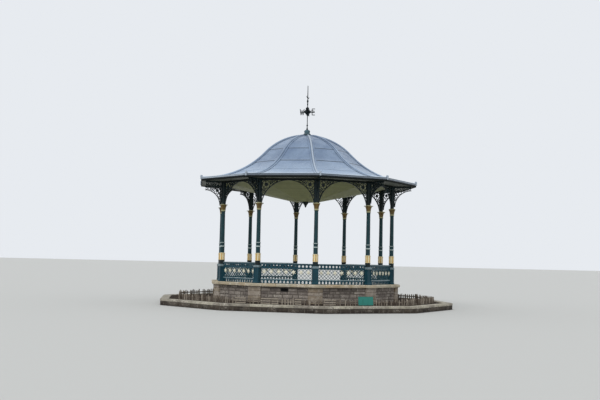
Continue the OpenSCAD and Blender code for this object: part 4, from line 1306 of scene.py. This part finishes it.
def board_finish(name, colour):
    """Painted boards, each in its own tone, with grime and faint mottling."""
    f = Finish(name, 0.55, specular=0.4)
    body = f.mix(f.tone(), shade(colour, 0.86), shade(colour, 1.10))
    body = f.patches(body, shade(colour, 0.62), (2.2, 5.0), 0.45, 0.75, 0.35)
    body = f.patches(body, shade(colour, 0.7), (40.0,), 0.5, 0.7, 0.18)
    f.bump(f.noise(50.0), 0.0012)
    return f.finish(body)


def lead_finish(mid, pale, dark, shadow, edge, eaves_z):
    """Lead sheet: paler towards the eaves as a painted reflection of the sky, with a bloom, dark streaks down
    the slope, soft dents, a painted highlight in a band along the eaves, and a tone that runs from the
    painted shadow under a lap to the painted highlight on its edge."""
    f = Finish("Weathered lead", 0.36, metallic=0.25, specular=0.6)
    body = f.patches(mid, pale, (1.3, 5.0), 0.35, 0.68, 0.45)
    body = f.patches(body, dark, (2.6, 4.0), 0.48, 0.72, 0.5)
    # Paler towards the eaves: a painted reflection of the sky on the flared lower slope
    body = f.mix(f.clamp(f.height_above_ground(), eaves_z - 0.1, eaves_z + 1.0, (0.9, 0.0)), body, pale)
    # A band along the eaves is painted near white: a painted highlight on the lead's lit lower edge
    near_eaves = f.clamp(f.height_above_ground(), eaves_z, eaves_z + 0.26, (1.0, 0.0))
    body = f.mix(near_eaves, body, shade(edge, 1.15))
    body = f.patches(body, shade(dark, 0.75), (17.0, 3.0, (1.0, 1.0, 0.35)), 0.5, 0.75, 0.2)
    # High tones mix in the edge colour: painted highlights on the laps' edges, the wings' lips and the hip
    # rolls
    body = f.mix(f.clamp(f.tone(), 0.56, 0.98, (0.0, 0.85)), body, edge)
    # Low tones mix in the shadow colour: painted shadow under the laps, beside the rolls and under the eaves'
    # lip
    body = f.mix(f.clamp(f.tone(), 0.38, 0.0, (0.0, 0.9)), body, shadow)
    f.bump(f.noise(2.2, 2.0), 0.022)
    f.bump(f.noise(60.0), 0.0015)
    return f.finish(body, f.clamp(f.noise(5.0), 0.3, 0.7, (0.26, 0.46)))


def verdigris_finish(green, dark):
    """Green bloom on copper, darker where its tone is low."""
    f = Finish("Verdigris", 0.7, specular=0.4)
    body = f.patches(green, dark, (14.0, 4.0), 0.35, 0.7)
    body = f.patches(body, shade(green, 1.4), (60.0,), 0.5, 0.75, 0.5)
    body = f.mix(f.tone(), shade(dark, 0.8), body)
    f.bump(f.noise(60.0, 4.0), 0.002)
    return f.finish(body)


def dress(nodes, material):
    """Gives CAD nodes a material."""
    for name in nodes:
        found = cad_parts[name]
        found.data.materials.clear()
        found.data.materials.append(material)


# Operators

class BANDSTAND_OT_plinth(bpy.types.Operator):
    """Lay the plinth's rubble, its corner piers and its coping"""
    bl_idname = "bandstand.plinth"
    bl_label = "Plinth stonework"
    bl_options = {"REGISTER", "UNDO"}

    def execute(self, context):
        c, stone = context.scene.bandstand_colours, context.scene.bandstand_stone
        rubble, piers = make_plinth_stones(stone)
        splash_z = 0.45
        brown = stone_finish("Brown rubble", c.rubble_dark, c.rubble_light, c.lichen, splash_z)
        rubble.build("plinth_rubble", brown, "rubble_stone")
        dressed = stone_finish("Dressed pier stone", shade(c.coping_warm, 0.5), shade(c.rubble_light, 1.12),
                               c.lichen, splash_z)
        piers.build("plinth_quoins", dressed, "rubble_stone")
        coping = stone_finish("Worn coping stone", c.coping, c.coping_warm, shade(c.lichen, 1.1),
                              patchy=1.0, mottle=0.9)
        make_plinth_coping(stone).build("plinth_coping_stones", coping, "coping_stone",
                                        replaces=["plinth_coping"])
        dress(["plinth_wall"], mortar_finish("Plinth mortar", c.mortar))
        black, worn = (0.01, 0.01, 0.011), (0.05, 0.05, 0.05)
        dress(["air_bricks"], iron_finish("Air brick iron", black, worn, 0.7))
        return {"FINISHED"}


class BANDSTAND_OT_terrace(bpy.types.Operator):
    """Lay the terrace wall's rubble, its coping and the soil of its bed"""
    bl_idname = "bandstand.terrace"
    bl_label = "Terrace"
    bl_options = {"REGISTER", "UNDO"}

    def execute(self, context):
        c, stone = context.scene.bandstand_colours, context.scene.bandstand_stone
        wall = stone_finish("Dark terrace rubble", c.terrace_dark, c.terrace_light, c.lichen,
                            grime_z=0.16, patchy=0.3)
        make_terrace_stones(stone).build("terrace_rubble", wall, "rubble_stone")
        kerb = stone_finish("Terrace coping stone", shade(c.rubble_light, 0.5), c.coping, c.lichen,
                            patchy=0.9, mottle=0.8)
        make_kerbs(stone).build("terrace_kerbs", kerb, "coping_stone", replaces=["terrace_coping"])
        make_soil(stone).build("bed_surface", soil_finish(c.soil, c.soil_dry), "bed_soil", crease=60.0,
                               replaces=["terrace_bed"])
        dress(["terrace_wall"], mortar_finish("Terrace mortar", shade(c.mortar, 0.6)))
        return {"FINISHED"}


class BANDSTAND_OT_steps(bpy.types.Operator):
    """Build the entrance steps and finish the stage floor"""
    bl_idname = "bandstand.steps"
    bl_label = "Steps and stage floor"
    bl_options = {"REGISTER", "UNDO"}

    def execute(self, context):
        c = context.scene.bandstand_colours
        worn = stone_finish("Worn step stone", shade(c.coping, 0.85), c.coping, c.lichen)
        make_steps(context.scene.bandstand_stone).build("step_blocks", worn, "coping_stone",
                                                        replaces=["entrance_steps"])
        # The stage floor's pale colour holds a painted reflection of the sky
        dress(["deck"], concrete_finish(c.concrete))
        return {"FINISHED"}


class BANDSTAND_OT_fence(bpy.types.Operator):
    """Build the picket fence and the bare notice board"""
    bl_idname = "bandstand.fence"
    bl_label = "Fence and notice board"
    bl_options = {"REGISTER", "UNDO"}

    def execute(self, context):
        c, fence = context.scene.bandstand_colours, context.scene.bandstand_fence
        wood = wood_finish(c.wood, c.wood_dark)
        make_pickets(fence).build("pickets", wood, "weathered_wood", replaces=["picket_fence"])
        board, stakes = make_notice(fence)
        green = iron_finish("Notice paint", c.notice_green, shade(c.notice_green, 1.3), 0.5)
        board.build("notice_board", green, "painted_boards")
        stakes.build("notice_stakes", wood, "weathered_wood")
        return {"FINISHED"}


class BANDSTAND_OT_columns(bpy.types.Operator):
    """Paint the columns and add their leaf collars and capitals"""
    bl_idname = "bandstand.columns"
    bl_label = "Columns"
    bl_options = {"REGISTER", "UNDO"}

    def execute(self, context):
        c, iron = context.scene.bandstand_colours, context.scene.bandstand_iron
        neck = iron.capital_foot + 0.045
        # The foot of each band above the stage, and its colour
        # The pedestal's cap takes the pale grey at three quarters: partly paint, partly a painted highlight
        # on its sloping top
        bands = [(0.0, c.teal_bright), (0.624, shade(c.highlight_grey, 0.75)), (0.708, c.teal_dark),
                 (iron.collar_foot - 0.016, c.cream), (iron.collar_top + 0.002, c.teal),
                 (iron.ring_low - 0.02, c.ring_pale), (iron.ring_low + 0.02, c.teal),
                 (iron.ring_high - 0.018, shade(c.ring_pale, 0.8)), (iron.ring_high + 0.018, c.teal),
                 # Behind the capital's leaves the column takes the gold at half: painted shade between the
                 # leaves
                 (iron.capital_foot - 0.014, c.capital_pale), (neck, shade(c.capital_gold, 0.5)),
                 (iron.capital_top - 0.036, c.capital_pale), (iron.capital_top + 0.018, c.teal_dark)]
        dress(COLUMN_NODES, banded_finish("Column paint", bands, shade(c.teal, 2.2)))
        collars, capitals = make_leaves(iron)
        cream = two_tone_finish("Collar paint", c.gold, c.cream, 0.3)
        collars.build("leaf_collars", cream, "painted_iron", crease=50.0)
        # The capitals' hollows take their gold made much darker: painted shade between the leaves
        gilding = two_tone_finish("Capital gilding", shade(c.capital_gold, 0.22), c.capital_gold,
                                  foot=(neck, c.capital_pale))
        capitals.build("leaf_capitals", gilding, "painted_iron", crease=50.0)
        return {"FINISHED"}


class BANDSTAND_OT_railings(bpy.types.Operator):
    """Paint the railings and add their stars"""
    bl_idname = "bandstand.railings"
    bl_label = "Railings"
    bl_options = {"REGISTER", "UNDO"}

    def execute(self, context):
        c = context.scene.bandstand_colours
        # The foot of each band above the stage, and its colour
        # The kick rail and the top rail take the pale grey, a painted highlight on the rails
        bands = [(0.0, c.teal_bright), (0.153, c.highlight_grey), (0.183, c.lattice), (0.587, c.teal_bright),
                 (0.790, c.highlight_grey)]
        dress(RAILING_NODES, banded_finish("Railing paint", bands, shade(c.teal, 2.2)))
        paint = two_tone_finish("Star paint", shade(c.gold, 0.8), c.star_pale)
        make_stars(context.scene.bandstand_iron).build("railing_stars", paint, "painted_iron", crease=25.0)
        return {"FINISHED"}


class BANDSTAND_OT_brackets(bpy.types.Operator):
    """Paint the brackets, the beam and the fascia"""
    bl_idname = "bandstand.brackets"
    bl_label = "Brackets and beam"
    bl_options = {"REGISTER", "UNDO"}

    def execute(self, context):
        c = context.scene.bandstand_colours
        dark = iron_finish("Dark teal paint", c.teal_dark, shade(c.teal, 1.6), 0.4)
        dress(BRACKET_NODES + ["ceiling_boss"], dark)
        black = iron_finish("Near black paint", c.near_black, shade(c.near_black, 2.0), 0.7, 0.1)
        dress(["ring_beam", "fascia"], black)
        return {"FINISHED"}


class BANDSTAND_OT_boards(bpy.types.Operator):
    """Board the ceiling and the soffit"""
    bl_idname = "bandstand.boards"
    bl_label = "Ceiling and soffit boards"
    bl_options = {"REGISTER", "UNDO"}

    def execute(self, context):
        c, boards = context.scene.bandstand_colours, context.scene.bandstand_boards
        make_ceiling(boards).build("ceiling_boards", board_finish("Olive board paint", c.olive),
                                   "painted_boards", replaces=["ceiling"])
        make_soffit(boards).build("soffit_boards", board_finish("Soffit paint", c.soffit),
                                  "painted_boards", replaces=["eaves_soffit"])
        return {"FINISHED"}


class BANDSTAND_OT_roof(bpy.types.Operator):
    """Lay the lead sheets and the hip rolls"""
    bl_idname = "bandstand.roof"
    bl_label = "Lead roof"
    bl_options = {"REGISTER", "UNDO"}

    def execute(self, context):
        c, lead = context.scene.bandstand_colours, context.scene.bandstand_lead
        sheet = lead_finish(c.lead, c.lead_pale, c.lead_dark, c.lap_dark, c.lead_highlight, RoofLine().eaves.y)
        make_roof(lead).build("lead_sheets", sheet, "roof_lead", crease=26.0, replaces=["roof_shell"])
        make_hips(lead).build("lead_hip_rolls", sheet, "roof_lead", crease=40.0, replaces=["hip_rolls"])
        return {"FINISHED"}


class BANDSTAND_OT_finial(bpy.types.Operator):
    """Make the copper cap, and the rod, scrolls and letters of the finial"""
    bl_idname = "bandstand.finial"
    bl_label = "Cap and finial"
    bl_options = {"REGISTER", "UNDO"}

    def execute(self, context):
        c = context.scene.bandstand_colours
        bloom = verdigris_finish(c.verdigris, shade(c.verdigris, 0.4))
        make_cap().build("copper_cap", bloom, "verdigris", crease=60.0, replaces=["roof_cap"])
        iron = iron_finish("Finial iron", shade(c.teal_dark, 0.8), c.teal, 0.5)
        make_finial().build("finial_rod", iron, "painted_iron", crease=60.0, replaces=["finial"])
        make_letters().build("finial_letters", iron, "painted_iron", crease=60.0)
        return {"FINISHED"}


class BANDSTAND_OT_stage(bpy.types.Operator):
    """Set the pale floor, the soft studio light and the camera"""
    bl_idname = "bandstand.stage"
    bl_label = "Studio"
    bl_options = {"REGISTER", "UNDO"}

    def execute(self, context):
        scene, stage = context.scene, context.scene.bandstand_stage
        scene.view_settings.view_transform = "Standard"
        self.lay_floor(scene, scene.bandstand_colours.floor)
        self.light_sky(scene, stage)
        self.hang_lamp(scene, stage)
        self.place_camera(scene, stage)
        return {"FINISHED"}

    def add(self, scene, name, data):
        made = bpy.data.objects.new(name, data)
        scene.collection.objects.link(made)
        return made

    def lay_floor(self, scene, colour):
        far = 400.0
        mesh = bpy.data.meshes.new("studio_floor")
        mesh.from_pydata([(-far, -far, 0), (far, -far, 0), (far, far, 0), (-far, far, 0)], [], [(0, 1, 2, 3)])
        mesh.materials.append(Finish("Studio floor", 0.9, specular=0.1).finish((*colour, 1.0)))
        self.add(scene, "studio_floor", mesh)

    def light_sky(self, scene, stage):
        """Even light, and a pale backdrop for what the camera sees directly, in gloss or through glass."""
        scene.world = bpy.data.worlds.new("Studio")
        scene.world.use_nodes = True
        tree = scene.world.node_tree
        tree.nodes.clear()
        skies = []
        for colour, strength in (((0.94, 0.97, 1.0, 1.0), stage.sky), ((0.80, 0.83, 0.87, 1.0), 1.0)):
            sky = tree.nodes.new("ShaderNodeBackground")
            sky.inputs["Color"].default_value = colour
            sky.inputs["Strength"].default_value = strength
            skies.append(sky.outputs[0])
        path = tree.nodes.new("ShaderNodeLightPath")
        seen = path.outputs["Is Camera Ray"]
        for ray in ("Is Glossy Ray", "Is Transmission Ray"):
            either = tree.nodes.new("ShaderNodeMath")
            either.operation = "MAXIMUM"
            tree.links.new(seen, either.inputs[0])
            tree.links.new(path.outputs[ray], either.inputs[1])
            seen = either.outputs[0]
        mixed = tree.nodes.new("ShaderNodeMixShader")
        for socket, source in zip(mixed.inputs, [seen] + skies):
            tree.links.new(source, socket)
        tree.links.new(mixed.outputs[0], tree.nodes.new("ShaderNodeOutputWorld").inputs[0])

    def hang_lamp(self, scene, stage):
        lamp = bpy.data.lights.new("soft_key", "SUN")
        lamp.energy = stage.key
        lamp.angle = math.radians(40)
        height, bearing = math.radians(42), math.radians(-27)
        self.add(scene, "soft_key", lamp).rotation_euler = (height, 0, bearing + stage.azimuth)

    def place_camera(self, scene, stage):
        sin_yaw, cos_yaw = math.sin(stage.yaw), math.cos(stage.yaw)
        sin_pitch, cos_pitch = math.sin(stage.pitch), math.cos(stage.pitch)
        ahead = Vector((-sin_yaw * cos_pitch, cos_yaw * cos_pitch, sin_pitch))
        side = Vector((cos_yaw, sin_yaw, 0))
        above = Vector((sin_yaw * sin_pitch, -cos_yaw * sin_pitch, cos_pitch))
        right = side * math.cos(stage.roll) + above * math.sin(stage.roll)
        up = above * math.cos(stage.roll) - side * math.sin(stage.roll)
        data = bpy.data.cameras.new("photo_camera")
        data.sensor_width = 36.0
        data.lens = stage.lens
        data.clip_end = 2000.0
        scene.camera = self.add(scene, "photo_camera", data)
        scene.camera.matrix_world = Matrix.Rotation(stage.azimuth, 4, "Z") \
            @ Matrix.Translation((0, -stage.distance, stage.eye)) \
            @ Matrix((right, up, -ahead)).transposed().to_4x4()


OPERATORS = (
    BANDSTAND_OT_plinth,
    BANDSTAND_OT_terrace,
    BANDSTAND_OT_steps,
    BANDSTAND_OT_fence,
    BANDSTAND_OT_columns,
    BANDSTAND_OT_railings,
    BANDSTAND_OT_brackets,
    BANDSTAND_OT_boards,
    BANDSTAND_OT_roof,
    BANDSTAND_OT_finial,
    BANDSTAND_OT_stage,
)


class BANDSTAND_PT_panel(bpy.types.Panel):
    """Lists the bandstand's pieces and their sizes"""
    bl_label = "Bandstand"
    bl_idname = "BANDSTAND_PT_panel"
    bl_space_type = "VIEW_3D"
    bl_region_type = "UI"
    bl_category = "Bandstand"

    def draw(self, context):
        for operator in OPERATORS:
            self.layout.operator(operator.bl_idname)
        for key, group in GROUPS.items():
            box = self.layout.box()
            box.label(text=group.__doc__)
            for name in group.__annotations__:
                box.prop(getattr(context.scene, key), name)


CLASSES = (*GROUPS.values(), *OPERATORS, BANDSTAND_PT_panel)


def register():
    for cls in CLASSES:
        bpy.utils.register_class(cls)
    for key, group in GROUPS.items():
        setattr(bpy.types.Scene, key, PointerProperty(type=group))


def unregister():
    for key in GROUPS:
        delattr(bpy.types.Scene, key)
    for cls in reversed(CLASSES):
        bpy.utils.unregister_class(cls)


def main():
    """Builds every piece in order."""
    register()
    for operator in OPERATORS:
        group, name = operator.bl_idname.split(".")
        getattr(getattr(bpy.ops, group), name)()
    bpy.context.view_layer.update()


if __name__ == "__main__":
    main()
